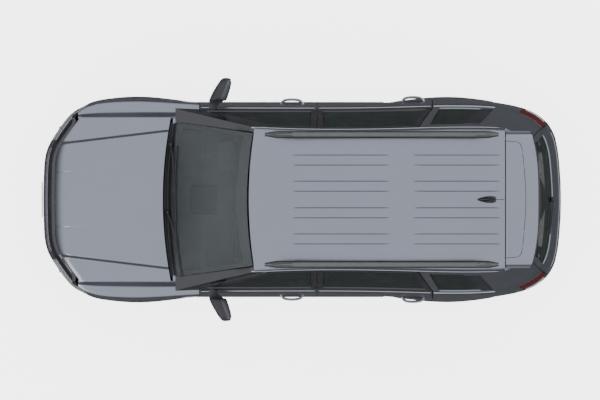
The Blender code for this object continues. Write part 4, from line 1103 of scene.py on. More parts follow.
SCREEN = Finish("windscreen_glass", "tinted_glass", (0.060, 0.070, 0.070), (0.072, 0.082, 0.082),
                Grain.SMOOTH, 0.02, coat=0.5, alpha=0.38)
TINT = Finish("tinted_side_glass", "tinted_glass", (0.010, 0.013, 0.012), (0.016, 0.019, 0.018),
              Grain.SMOOTH, 0.03, alpha=0.86, shine=0.4)
CLEAR = Finish("lamp_cover", "clear_lens", (0.55, 0.57, 0.60), (0.70, 0.72, 0.75),
               Grain.SMOOTH, 0.02, coat=1.0, alpha=0.26)
LENS = Finish("lamp_lens", "clear_lens", (0.75, 0.78, 0.82), (0.90, 0.93, 0.96),
              Grain.FLUTED, 0.06, metallic=0.4, coat=1.0)
LIGHT = Finish("daylight_bar", "clear_lens", (0.85, 0.87, 0.90), (0.95, 0.97, 1.0),
               Grain.SMOOTH, 0.15, glow=0.6)
RED = Finish("tail_red_lens", "red_lens", (0.034, 0.002, 0.003), (0.062, 0.003, 0.004),
             Grain.FLUTED, 0.06, coat=0.6)
AMBER = Finish("amber_lens", "clear_lens", (0.75, 0.26, 0.02), (0.85, 0.34, 0.04),
               Grain.FLUTED, 0.08, coat=1.0)
PLATE = Finish("blank_plate", "plate_blank", (0.78, 0.78, 0.76), (0.84, 0.84, 0.82),
               Grain.SMOOTH, 0.35)
CLOTH = Finish("seat_cloth", "seat_fabric", (0.055, 0.057, 0.062), (0.105, 0.108, 0.115),
               Grain.WEAVE, 0.88)
HIDE = Finish("seat_leather", "seat_fabric", (0.045, 0.046, 0.050), (0.070, 0.072, 0.078),
              Grain.LEATHER, 0.48)
TRIM = Finish("cabin_soft_trim", "cabin_trim", (0.070, 0.074, 0.078), (0.095, 0.10, 0.105),
              Grain.LEATHER, 0.62)
PALE = Finish("cabin_pale_trim", "cabin_trim", (0.30, 0.30, 0.29), (0.38, 0.38, 0.37),
              Grain.MOULDED, 0.70)
CARPET = Finish("cabin_carpet", "cabin_trim", (0.030, 0.031, 0.033), (0.055, 0.056, 0.060),
                Grain.WEAVE, 0.95)
DISPLAY = Finish("display_glass", "dark_plastic", (0.010, 0.014, 0.020), (0.018, 0.024, 0.034),
                 Grain.SMOOTH, 0.08, coat=0.8)


def second(piece: Object, finish: Finish, chosen: np.ndarray) -> None:
    """Gives the chosen faces of a dressed piece a second finish."""
    piece.data.materials.append(finish.made())
    piece.data.polygons.foreach_set("material_index", np.asarray(chosen, np.int32))


def middles(piece: Object) -> np.ndarray:
    """The middles of a piece's faces.

    Args:
        piece: the piece.

    Returns:
        An array of points, one for each face.
    """
    points = np.empty(len(piece.data.polygons) * 3, np.float32)
    piece.data.polygons.foreach_get("center", points)
    return points.reshape(-1, 3)


def fit(piece: Object, finish: Finish, body: str, *nodes: str) -> Object:
    """Dresses a piece, hangs it on its body and says which frame nodes it stands for.

    Args:
        piece: the piece.
        finish: its finish.
        body: the body that it rides on.
        nodes: the frame nodes that it replaces.

    Returns:
        The same piece.
    """
    piece.data.materials.clear()
    piece.data.materials.append(finish.made())
    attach(piece, body)
    if nodes:
        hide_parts(*nodes)
    LOG.info("%s on %s, %d faces", piece.name, body, len(piece.data.polygons))
    return piece


def dressed(name: str, outer: np.ndarray, inner: np.ndarray, finish: Finish, side: float = 1,
            bevel: float = 0.0, body: str = "body", node: str = "") -> Object:
    """A whole closed panel between two grids, dressed and hung.

    Args:
        name: the piece's name.
        outer: the outer grid, rows by columns.
        inner: the inner grid of the same shape.
        finish: its finish.
        side: 1 as given, -1 mirrored to the right.
        bevel: width of its rounded edges.
        body: the body that it rides on.
        node: the frame node that it replaces, or nothing.

    Returns:
        The finished piece.
    """
    piece = Bench.wall(name, outer, inner, None, side, bevel)
    return fit(piece, finish, body, *filter(None, (node,)))


@dataclass
class Door:
    """One side door: its hollow shell, pane, trims, handle and inner card."""

    end: str
    side: float
    wall: float = 0.120
    edge: float = 0.034
    rows: tuple[float, ...] = (0.375, 0.46, 0.55, 0.66, 0.77, 0.85, 0.90, 0.932, 1.00, 1.07, 1.12)
    row_parts: tuple[int, ...] = (3, 3, 4, 4, 3, 2, 2, 3, 3, 2, 3, 4, 4, 3, 3, 2)
    column_parts: tuple[int, ...] = (1, 2, 5, 5, 5, 5, 5, 2, 1)

    @property
    def name(self) -> str:
        """The name of the door, its frame node and its body."""
        return side_name(f"{self.end}_door", self.side)

    def lines(self) -> tuple[Line, Line, Line]:
        """The leading and trailing edges, and the width of the frame along the leading one.

        Returns:
            Three functions of height.
        """
        lean = FORM.frame_width / math.sin(math.atan(FORM.pillar_rise))
        if self.end == "rear":
            return (lambda z: FORM.pillar_b - FORM.gap / 2), FORM.door_rear, lambda z: FORM.frame_width

        def wide(z: float) -> float:
            """The frame's width, which grows up the leaning pillar."""
            return FORM.frame_width + (lean - FORM.frame_width) * float(ease(FORM.belt, 1.30, z))

        return FORM.door_front, (lambda z: FORM.pillar_b + FORM.gap / 2), wide

    def levels(self) -> list[Level]:
        """The grid's heights, up to the top rail."""
        rail = [lambda x, drop=drop: FORM.door_top(x) - drop for drop in (FORM.frame_width, 0.0)]
        return [*self.rows, FORM.glass_bottom, 1.330, 1.460, 1.570, *rail]

    def columns(self) -> list[Level]:
        """The grid's upright lines, from the leading edge.

        Returns:
            The lines, as functions of height.
        """
        front, rear, lead = self.lines()
        between = [
            lambda z, t=t: (front(z) - lead(z)) * (1 - t) + (rear(z) + FORM.frame_width) * t
            for t in (0.0, 0.2, 0.4, 0.6, 0.8, 1.0)
        ]
        ahead = [front, lambda z: front(z) - 0.012]
        return ahead + between + [lambda z: rear(z) + 0.012, rear]

    def build(self) -> None:
        """Builds and dresses the door's pieces."""
        columns, levels, belt = self.columns(), self.levels(), len(self.rows)
        depth = np.full((len(levels), len(columns)), self.wall)
        depth[belt:] = FORM.frame_wall
        depth[belt - 1] = 0.085
        depth[:, [0, 1, -2, -1]] = self.edge
        keep = np.ones((len(levels) - 1, len(columns) - 1), bool)
        keep[belt : len(levels) - 2, 2 : len(columns) - 3] = False
        fine = FORM.side_grid(denser(columns, self.column_parts), denser(levels, self.row_parts))
        press = 0.005 * np.exp(-(((fine[..., 2] - 0.62) / 0.05) ** 2))
        press *= ease(0.0, 0.06, fine[..., 0] - fine[:, -1:, 0])
        press *= ease(0.0, 0.06, fine[:, :1, 0] - fine[..., 0])
        outer = fine - press[..., None] * OUTWARD
        inner = fine - blended(depth, self.row_parts, self.column_parts)[..., None] * OUTWARD
        mask = spread(keep, self.row_parts, self.column_parts)
        panel = Bench.wall(f"{self.name}_shell", outer, inner, mask, self.side, 0.002, 2)
        fit(panel, PAINT, self.name, self.name)
        second(panel, GLOSS, middles(panel)[:, 2] > 1.160)
        self.pane(columns, levels, belt)
        self.trims()
        self.handle()
        self.card()

    def pane(self, columns: list[Level], levels: list[Level], belt: int) -> None:
        """The window pane.

        Args:
            columns: the door's upright lines.
            levels: the door's heights.
            belt: which of the heights is the glass's lower edge.
        """
        inside, upper = columns[2 : len(columns) - 2], levels[belt : len(levels) - 1]
        fine = FORM.side_grid(denser(inside, 6), denser(upper, 6))
        middle = fine.reshape(-1, 3).mean(0)
        fine = middle + (fine - middle) * np.array([0.9930, 1.0, 0.9880])
        fine[..., 1] = FORM.side_y(fine[..., 0], fine[..., 2]) - FORM.glass_in
        back = fine - np.array([0.0, FORM.glass, 0.0])
        glass = Bench.wall(f"{self.name}_pane", fine, back, None, self.side, 0.0008)
        fit(glass, TINT, self.name, side_name(f"{self.end}_door_glass", self.side))

    def strip(self, name: str, low: Level, high: Level, out: float, finish: Finish,
              past: float = 0.014, bevel: float = 0.002) -> None:
        """A moulding that follows the skin between two heights, standing out from it.

        Args:
            name: the moulding's own part of its name.
            low: its lower edge.
            high: its upper edge.
            out: how far it stands out.
            finish: its finish.
            past: how far it stops short of the door's two ends.
            bevel: width of its rounded edges.
        """
        front, rear, _lead = self.lines()
        columns = [lambda z: front(z) - past, lambda z: rear(z) + past]
        line = FORM.side_grid(denser(columns, 34), denser([low, high], 3))
        lift = OUTWARD
        edge = np.array([0.35, 1.0, 1.0, 0.35])[:, None, None]
        piece = Bench.wall(
            f"{self.name}_{name}", line + lift * out * edge, line - lift * 0.004, None, self.side, bevel
        )
        fit(piece, finish, self.name)

    def trims(self) -> None:
        """Belt moulding, waist seal, roof drip trim and lower cladding."""
        self.strip("belt_moulding", 1.122, 1.144, 0.007, BRIGHT)
        self.strip("waist_seal", 1.150, 1.196, 0.002, SEAL)
        low, high = (lambda x, drop=drop: FORM.door_top(x) - drop for drop in (0.030, 0.004))
        self.strip("frame_trim", low, high, 0.002, GLOSS)
        self.strip("cladding", 0.381, 0.485, 0.008, BLACK, 0.016, 0.003)

    def handle(self) -> None:
        """A bowed pull handle on two feet, with a dark cup behind it."""
        middle = 0.090 if self.end == "front" else -1.052
        z, half = 0.975, 0.105
        skin = float(FORM.side_y(middle, z))
        route = [
            (middle + half, skin - 0.004, z), (middle + half * 0.86, skin + 0.030, z),
            (middle + half * 0.4, skin + 0.041, z), (middle - half * 0.4, skin + 0.041, z),
            (middle - half * 0.86, skin + 0.030, z), (middle - half, skin - 0.004, z),
        ]
        bow = Bench.tube(f"{self.name}_handle", mirrored(np.array(route), self.side), 0.0125, 1.4)
        fit(bow, PAINT, self.name)
        turns = np.linspace(0, math.tau, 29)
        rings = [(0.25, 0.004), (0.7, 0.003), (1.0, 0.0015)]
        x = np.array([[middle + share * 0.075 * math.cos(a) for a in turns] for share, _ in rings])
        height = np.array([[z + share * 0.026 * math.sin(a) for a in turns] for share, _ in rings])
        out = np.array([[rise] * len(turns) for _, rise in rings])
        points = np.stack([x, FORM.side_y(x, height) + out * 0.4, height], -1)
        cup = Bench.wall(
            f"{self.name}_handle_cup", points, points - np.array([0, 0.004, 0]), None, self.side, 0
        )
        fit(cup, BLACK, self.name)

    def card(self) -> None:
        """The inner card with its armrest, pull and speaker."""
        front, rear, _lead = self.lines()
        columns = [lambda z: front(z) - 0.075, lambda z: rear(z) + 0.075]
        rows = [0.46, 0.62, 0.74, 0.80, 0.86, 0.98, 1.10, 1.165]
        grid = FORM.side_grid(denser(columns, 16), denser(rows, 3))
        swell = {0: 0.004, 3: 0.006, 6: 0.010, 9: 0.034, 11: 0.046, 12: 0.046, 13: 0.022, 15: 0.008}
        rise = np.interp(np.arange(grid.shape[0]), list(swell), list(swell.values()))[:, None]
        along = np.linspace(0, 1, grid.shape[1])[None, :]
        fade = np.minimum(ease(0.0, 0.08, along), ease(1.0, 0.92, along))
        depth = self.wall - 0.001 + 0.004 + rise * fade * np.ones_like(grid[..., 0])
        depth = np.where(grid[..., 2] > 1.12, np.minimum(depth, 0.094), depth)
        outer = grid - (self.wall - 0.030) * OUTWARD
        outer[-3:] = grid[-3:] - np.array([0.0, 0.070, 0.0])
        inner = grid - depth[..., None] * OUTWARD
        fit(Bench.wall(f"{self.name}_card", outer, inner, None, self.side, 0.004, 2), TRIM, self.name)
        middle = (front(0.8) + rear(0.8)) / 2
        inside = float(FORM.side_y(middle, 0.60)) - self.wall - 0.006
        speaker = Bench.turned(
            f"{self.name}_speaker",
            [(0.0, -0.004), (0.0, 0.004), (0.070, 0.004), (0.078, 0.0), (0.078, -0.004)],
            (middle + 0.20, self.side * inside, 0.60), "Y", 32,
        )
        fit(speaker, BLACK, self.name)
        pull = [(0.16, 0.0), (0.12, -0.030), (0.02, -0.030), (-0.02, 0.0)]
        route = [(middle + x, self.side * (inside + 0.012 + y), 1.02) for x, y in pull]
        fit(Bench.tube(f"{self.name}_pull", route, 0.008), BRIGHT, self.name)


@dataclass
class SideFrame:
    """Sill, pillars, cant rail and rear quarter of one side, with the quarter glass."""

    side: float
    depth: float = 0.190
    pillar: float = 0.110
    belt_in: float = 0.085
    row_parts: tuple[int, ...] = (2, 1, 1, 3, 3, 5, 4, 4, 1, 2, 1, 4, 3, 1, 2, 4, 4, 4, 3)
    column_parts: tuple[int, ...] = (4, 1, 1, 4, 2, 3, 3, 4, 1, 1, 2, 6, 6, 5, 4, 3, 3, 3)

    def levels(self) -> list[Level]:
        """The grid's heights, up to the cant rail.

        Returns:
            Heights, or functions of x.
        """
        arch = [FORM.axle_z + FORM.arch * math.sin(math.radians(a)) for a in (0, 20, 40, 80)]
        top = [lambda x, drop=drop: float(FORM.roof_edge(x)) - drop for drop in (0.078, 0.010)]
        return [
            FORM.sill, FORM.door_bottom - 0.010, FORM.door_bottom - 0.007, arch[0], 0.475, arch[1],
            arch[2], FORM.bumper_side_top, arch[3], FORM.tail_lamp[0], 0.905, 0.934, 1.050,
            FORM.tail_lamp[1], FORM.belt, 1.215, 1.340, 1.480, *top,
        ]

    def quarter(self, share: int) -> Line:
        """An upright line of the quarter panel, round the wheel arch.

        Args:
            share: which line, counted back from the door.

        Returns:
            The line's x as a function of height.
        """

        def x(z: float) -> float:
            """The line's x at height z.

            Args:
                z: height.

            Returns:
                The line's x.
            """
            lean = max(0.0, z - FORM.belt)
            middle = FORM.rear_axle - 0.05 - 0.17 * float(ease(0.86, FORM.belt, z)) + lean * 0.2
            start = [-1.300 + lean * 0.22, middle, -1.700 + lean * 0.40]
            if z <= FORM.axle_z + FORM.arch:
                start[0] = FORM.arch_x(FORM.rear_axle, z, 1)
                start[1] = FORM.arch_x(FORM.rear_axle, z, -1)
                start[2] = min(-1.72, start[1] - 0.03)
            return start[share]

        return x

    def columns(self) -> list[Level]:
        """The grid's upright lines, from the windscreen back.

        Returns:
            Places along x, or functions of height.
        """
        front, rear = FORM.door_front, FORM.door_rear
        return [
            lambda z: FORM.pillar_line(z) if z > FORM.belt - 0.001 else 1.100,
            lambda z: front(z) + FORM.gap, lambda z: front(z) + 0.005, lambda z: front(z) - 0.050,
            lambda z: 0.45 - 0.3 * float(ease(1.2, 1.6, z)), FORM.pillar_b + 0.091,
            FORM.pillar_b - 0.091, -0.60, lambda z: rear(z) + 0.050, lambda z: rear(z) - 0.005,
            lambda z: rear(z) - FORM.gap, self.quarter(0), self.quarter(1), self.quarter(2), -1.90,
        ]

    def corner(self, levels: Sequence[Line], rank: np.ndarray) -> np.ndarray:
        """Outline length and height along the rear corner's five upright lines.

        Args:
            levels: the grid's heights.
            rank: where each of them lies among the coarse heights.

        Returns:
            A grid of outline lengths and heights.
        """
        stops = [FORM.along_side(-1.90), FORM.along_side(-2.10), FORM.along_side(-2.20)]
        stops += [FORM.across_tail(0.800), FORM.across_tail(0.712)]
        spots = np.zeros((len(levels), len(stops), 2))
        for j, level in enumerate(levels):
            z = level(FORM.roof_rear)
            limit = min(z, FORM.corner_top - 0.03 * (rank[-1] - rank[j]))
            spots[j, :, 0] = stops
            spots[j, :, 1] = [level(-1.90)] + [limit] * 4
        return spots

    def points(self, fine: bool) -> np.ndarray:
        """The side's surface on the coarse grid, or on the fine one.

        Args:
            fine: whether the fine grid is wanted.

        Returns:
            The grid of points.
        """
        columns, levels = self.columns(), self.levels()
        rows = self.row_parts if fine else (1,) * (len(levels) - 1)
        across = self.column_parts if fine else (1,) * 18
        rank = shares(rows, len(levels) - 1)
        lines = denser(levels, rows)
        ahead = FORM.side_grid(denser(columns, across[:14]), lines)
        spots = blended(self.corner(lines, rank), (1,) * (len(lines) - 1), across[14:])
        return np.concatenate([ahead, FORM.hull(spots[:, 1:, 0], spots[:, 1:, 1])], axis=1)

    def build(self) -> None:
        """Builds and dresses the side frame."""
        points = self.points(False)
        rows, columns = points.shape[:2]
        green, last = rows - 6, 10
        covered, pillar_covered = 0.136, FORM.frame_wall + 0.014
        sink, wall = np.zeros((rows, columns)), np.full((rows, columns), self.depth)
        wall[green] = self.belt_in + 0.050
        wall[green + 1 :] = self.pillar
        for j in range(2, rows):
            inset = covered if j < green else self.belt_in if j == green else pillar_covered
            sink[j, (2 if j >= green else 0) : last] = inset
            if j < green:
                sink[j, 0:2] = covered
        outer = points - sink[..., None] * OUTWARD
        inner = points - wall[..., None] * OUTWARD
        for j in range(green - 1, rows):
            inner[j, 0, 1] = 0.736 - 0.108 * (points[j, 0, 2] - 1.166) / 0.484
        for k, turn in enumerate((20, 45, 70, 88)):
            way = np.array([-math.sin(math.radians(turn)), math.cos(math.radians(turn)), 0.0])
            inner[:, 15 + k] = points[:, 15 + k] - way * (0.10 if k < 3 else 0.085)
        keep = np.ones((rows - 1, columns - 1), bool)
        top = rows - 2
        keep[4:top, 3:5] = False
        keep[4:top, 6:8] = False
        keep[:9, last + 1] = False
        keep[:7, last + 2 :] = False
        keep[9:13, 15:] = False
        keep[green:top, last + 1 : last + 3] = False
        keep[0:2, 0:1] = False
        fine = self.points(True)
        out = fine + blended(outer - points, self.row_parts, self.column_parts)
        into = fine + blended(inner - points, self.row_parts, self.column_parts)
        mask = spread(keep, self.row_parts, self.column_parts)
        name = side_name("body_side", self.side)
        shell = fit(Bench.wall(f"{name}_shell", out, into, mask, self.side, 0.0012), PAINT, "body", name)
        spots = middles(shell)
        second(shell, GLOSS, (spots[:, 2] > 1.165) & (spots[:, 0] > 0.38))
        self.glass(points[green : top + 1, last + 1 : last + 4])
        self.mouldings()
        self.surround()

    def glass(self, corners: np.ndarray) -> None:
        """The fixed quarter pane.

        Args:
            corners: the coarse grid's points round the opening.
        """
        pane = blended(corners, (5,) * (corners.shape[0] - 1), (8,) * (corners.shape[1] - 1))
        middle = pane.reshape(-1, 3).mean(0)
        pane = middle + (pane - middle) * np.array([0.992, 1.0, 0.992])
        pane[..., 1] = FORM.side_y(pane[..., 0], pane[..., 2]) - FORM.glass_in
        back = pane - np.array([0, FORM.glass, 0])
        piece = Bench.wall(side_name("quarter_pane", self.side), pane, back, None, self.side, 0.0008)
        fit(piece, TINT, "body", side_name("quarter_glass", self.side))

    def surround(self) -> None:
        """The gloss black panel that runs the quarter pane out to a point."""
        ends = [lambda z: self.quarter(2)(z) + 0.006, lambda z: -1.815 + 0.34 * (z - FORM.belt)]
        rows = [1.190, lambda x: float(FORM.roof_edge(x)) - 0.085]
        name = side_name("quarter_surround", self.side)
        self.band(name, ends, rows, 0.0025, GLOSS, (10, 10), 0.0008)

    def band(self, name: str, columns: Sequence[Level], rows: Sequence[Level], out: float,
             finish: Finish, parts: tuple[int, int] = (40, 3), bevel: float = 0.002) -> None:
        """A moulding that follows the side between lines, standing out from it.

        Args:
            name: its name.
            columns: its two ends.
            rows: its lower and upper edge.
            out: how far it stands out.
            finish: its finish.
            parts: how many cells it has along and up.
            bevel: width of its rounded edges.
        """
        line = FORM.side_grid(denser(columns, parts[0]), denser(rows, parts[1]))
        lift = OUTWARD
        piece = Bench.wall(name, line + lift * out, line - lift * 0.006, None, self.side, bevel)
        fit(piece, finish, "body")

    def mouldings(self) -> None:
        """Belt line and sill cladding behind and below the doors, and the roof drip trim above them."""
        ends = [lambda z: FORM.door_rear(z) - 0.012, -1.83]
        self.band(side_name("quarter_belt_moulding", self.side), ends, [1.122, 1.144], 0.007, BRIGHT)
        sill = [1.085, -0.80]
        self.band(side_name("sill_cladding", self.side), sill, [0.290, 0.362], 0.012, BLACK, bevel=0.004)
        drip = [0.470, -1.895]
        rows = [lambda x: float(FORM.roof_edge(x)) - 0.008, lambda x: float(FORM.roof_edge(x)) - 0.001]
        self.band(side_name("roof_drip_trim", self.side), drip, rows, 0.004, BRIGHT, (60, 2), 0.0)


@dataclass
class ArchLip:
    """A wheel arch's black lip and its inner liner."""

    end: str
    side: float
    lip: float = 0.048
    out: float = 0.007

    def build(self) -> None:
        """Builds both pieces."""
        axle = FORM.front_axle if self.end == "front" else FORM.rear_axle
        low, high = (math.radians(-8), math.radians(188))
        turns = np.linspace(low, high, 61)
        radii = [FORM.arch - 0.004, FORM.arch + self.lip * 0.45, FORM.arch + self.lip]
        x = np.array([[axle + r * math.cos(a) for a in turns] for r in radii])
        z = np.array([[FORM.axle_z + r * math.sin(a) for a in turns] for r in radii])
        skin = np.stack([x, FORM.side_y(x, z), z], -1)
        lift = OUTWARD
        outs = np.array([1.0, 1.0, 0.25])[:, None, None] * self.out
        outer, inner = skin + lift * outs, skin - lift * 0.022
        name = side_name(f"{self.end}_arch_lip", self.side)
        dressed(name, outer, inner, BLACK, self.side, 0.002)
        self.liner(axle)

    def liner(self, axle: float) -> None:
        """The moulded liner over the tyre.

        Args:
            axle: the axle's x.
        """
        turns = np.linspace(math.radians(4), math.radians(176), 49)
        stages = [0.0, 0.3, 0.6, 0.85, 1.0]
        grid = np.zeros((len(stages), len(turns), 3))
        for k, a in enumerate(turns):
            rib = 0.004 * math.cos(a * 24)
            reach = FORM.arch - 0.004
            skin = FORM.side_y(axle + reach * math.cos(a), FORM.axle_z + reach * math.sin(a)) - 0.006
            inside = 0.500 if self.end == "front" else 0.600
            for j, share in enumerate(stages):
                radius = reach + rib * math.sin(share * math.pi)
                y = skin + (inside - skin) * share
                grid[j, k] = axle + radius * math.cos(a), y, FORM.axle_z + radius * math.sin(a)
        out = grid - np.array([axle, 0, FORM.axle_z])
        out[..., 1] = 0
        out = out / np.linalg.norm(out, axis=-1, keepdims=True)
        name = side_name(f"{self.end}_arch_liner", self.side)
        dressed(name, grid + out * 0.0035, grid, BLACK, self.side)


@dataclass
class FrontWing:
    """The wing from the door to the headlamp, with its shoulder rolled up to the hood."""

    side: float
    wall: float = 0.020
    level_parts: tuple[int, ...] = (4, 4, 4, 4, 4, 2, 4)
    roll_parts: int = 14
    column_parts: tuple[int, ...] = (2, 3, 14, 4, 3)
    shoulder: tuple[tuple[float, float], ...] = (
        (1.0, 0.0), (0.985, 0.18), (0.93, 0.33), (0.80, 0.41), (0.55, 0.50), (0.34, 0.57),
        (0.22, 0.68), (0.09, 0.88), (0.0, 1.0),
    )

    def build(self) -> None:
        """Builds and dresses the wing and its side vent."""
        arch = [FORM.axle_z + FORM.arch * math.sin(math.radians(a)) for a in (0, 20, 40, 60, 80)]
        levels = [FORM.sill + 0.06, *arch, 0.900, FORM.lamp_top]
        columns = [
            FORM.door_lead + FORM.gap, 1.03, lambda z: FORM.arch_x(FORM.front_axle, z, -1),
            lambda z: FORM.arch_x(FORM.front_axle, z, 1), 2.045, 2.150,
        ]
        lines = denser(columns, self.column_parts)
        body = FORM.side_grid(lines, denser(levels, self.level_parts))
        start = body[-1]
        edge_z = FORM.hood_z(np.minimum(start[:, 0], 2.15), FORM.hood_half) - 0.004
        steps = np.linspace(0, len(self.shoulder) - 1, self.roll_parts + 1)[1:]
        inner_y = FORM.hood_half + 0.006
        roll = []
        across, up = (spline(list(enumerate(c))) for c in zip(*self.shoulder))
        for step in steps:
            y = inner_y + (start[:, 1] - inner_y) * across(step)
            roll.append(np.stack([start[:, 0], y, FORM.lamp_top + (edge_z - FORM.lamp_top) * up(step)], -1))
        outer = np.concatenate([body, np.array(roll)])
        inner = moved(outer, self.wall, (0, -1, -0.5))
        keep = np.ones((8, 5), bool)
        keep[:5, 2] = False
        keep[:3, 3:] = False
        keep[:7, 4] = False
        mask = spread(keep, (*self.level_parts, self.roll_parts), self.column_parts)
        name = side_name("front_fender", self.side)
        fit(Bench.wall(f"{name}_skin", outer, inner, mask, self.side, 0.0015), PAINT, "body", name)
        low, high = sorted((self.side * 0.800, self.side * 0.845))
        closer = Bench.block(f"{name}_closer", (0.968, low, 0.480), (0.990, high, 1.068), 0.003)
        fit(closer, BLACK, "body")
        low, high = sorted((self.side * 0.714, self.side * 0.779))
        corner = Bench.block(f"{name}_corner", (1.010, low, 1.050), (1.214, high, 1.116), 0.006)
        fit(corner, PAINT, "body")
        self.vent()

    def vent(self) -> None:
        """A slim bright vent ahead of the door."""
        columns, rows = [1.130, 0.990], [0.905, 0.925]
        line = FORM.side_grid(denser(columns, 8), denser(rows, 2))
        lift = OUTWARD
        name = side_name("wing_vent", self.side)
        dressed(name, line + lift * 0.006, line - lift * 0.004, BRIGHT, self.side, 0.002)


@dataclass
class Shields:
    """Black plates that close the slots between the skin and the frame on one side: painted shade, dark
    sheets where the slots show only shadow.
    """

    side: float
    cowl_low: tuple[float, float, float] = (1.225, 0.020, 1.030)
    cowl_high: tuple[float, float, float] = (1.345, 0.700, 1.060)
    dash_low: tuple[float, float, float] = (1.000, 0.600, 0.900)
    dash_high: tuple[float, float, float] = (1.130, 0.735, 0.930)
    lamp_low: tuple[float, float, float] = (2.090, 0.730, 0.800)
    lamp_high: tuple[float, float, float] = (2.165, 0.795, 0.850)
    sill_low: tuple[float, float, float] = (-0.780, 0.790, 0.292)
    sill_high: tuple[float, float, float] = (1.080, 0.925, 0.335)

    def build(self) -> None:
        """Builds the four plates."""
        # Each plate is painted shade: a black sheet standing in for the shadow inside a slot.
        spots = {
            "cowl_tray": (self.cowl_low, self.cowl_high), "dash_end": (self.dash_low, self.dash_high),
            "lamp_shield": (self.lamp_low, self.lamp_high), "sill_step": (self.sill_low, self.sill_high),
        }
        for name, (low, high) in spots.items():
            near, far = sorted((self.side * low[1], self.side * high[1]))
            corners = (low[0], near, low[2]), (high[0], far, high[2])
            fit(Bench.block(side_name(name, self.side), *corners, 0.003), BLACK, "body")


@dataclass
class Hood:
    """The hood, with its raised middle, and the liner under it."""

    wall: float = 0.035
    lane_parts: tuple[int, ...] = (6, 4, 6, 9, 4, 3)
    share_parts: tuple[int, ...] = (2, 4, 6, 6, 5, 2)

    def grid(self) -> np.ndarray:
        """The hood's skin, from the centre line to the left and from front to rear.

        Returns:
            The grid of points.
        """
        lanes = denser([
            0.0, 0.252, 0.268, lambda x: FORM.dome_line(x) - 0.024, lambda x: FORM.dome_line(x) + 0.024,
            FORM.hood_half - 0.06, FORM.hood_half,
        ], self.lane_parts)
        steps = finer([0.0, 0.05, 0.16, 0.4, 0.7, 0.92, 1.0], self.share_parts)
        half = np.zeros((len(lanes), len(steps), 3))
        for k, lane in enumerate(lanes):
            y = np.full(len(steps), 0.5)
            for _ in range(4):
                x = FORM.hood_front(y) + (FORM.hood_rear(y) - FORM.hood_front(y)) * steps
                y = lane(x) * np.ones(len(steps))
            crease = -0.0035 * np.exp(-(((y - 0.260) / 0.0035) ** 2)) * ease(1.72, 2.05, x)
            nose = 0.012 * ease(0.05, 0.0, steps)
            half[k] = np.stack([x, y, FORM.hood_z(x, y) + crease - nose], -1)
        return half

    def build(self) -> None:
        """Builds and dresses the hood."""
        left = self.grid()
        outer = np.concatenate([mirrored(left[:0:-1], -1), left])
        inner = outer - np.array([0, 0, self.wall])
        piece = Bench.wall("hood_skin", outer, inner, None, 1, 0.003, 2)
        fit(piece, PAINT, "hood", "hood")
        under = outer[3:-3, 3:-3] - np.array([0, 0, 0.036])
        below = under - np.array([0, 0, 0.010])
        dressed("hood_liner", under, below, BLACK, bevel=0.003, body="hood")


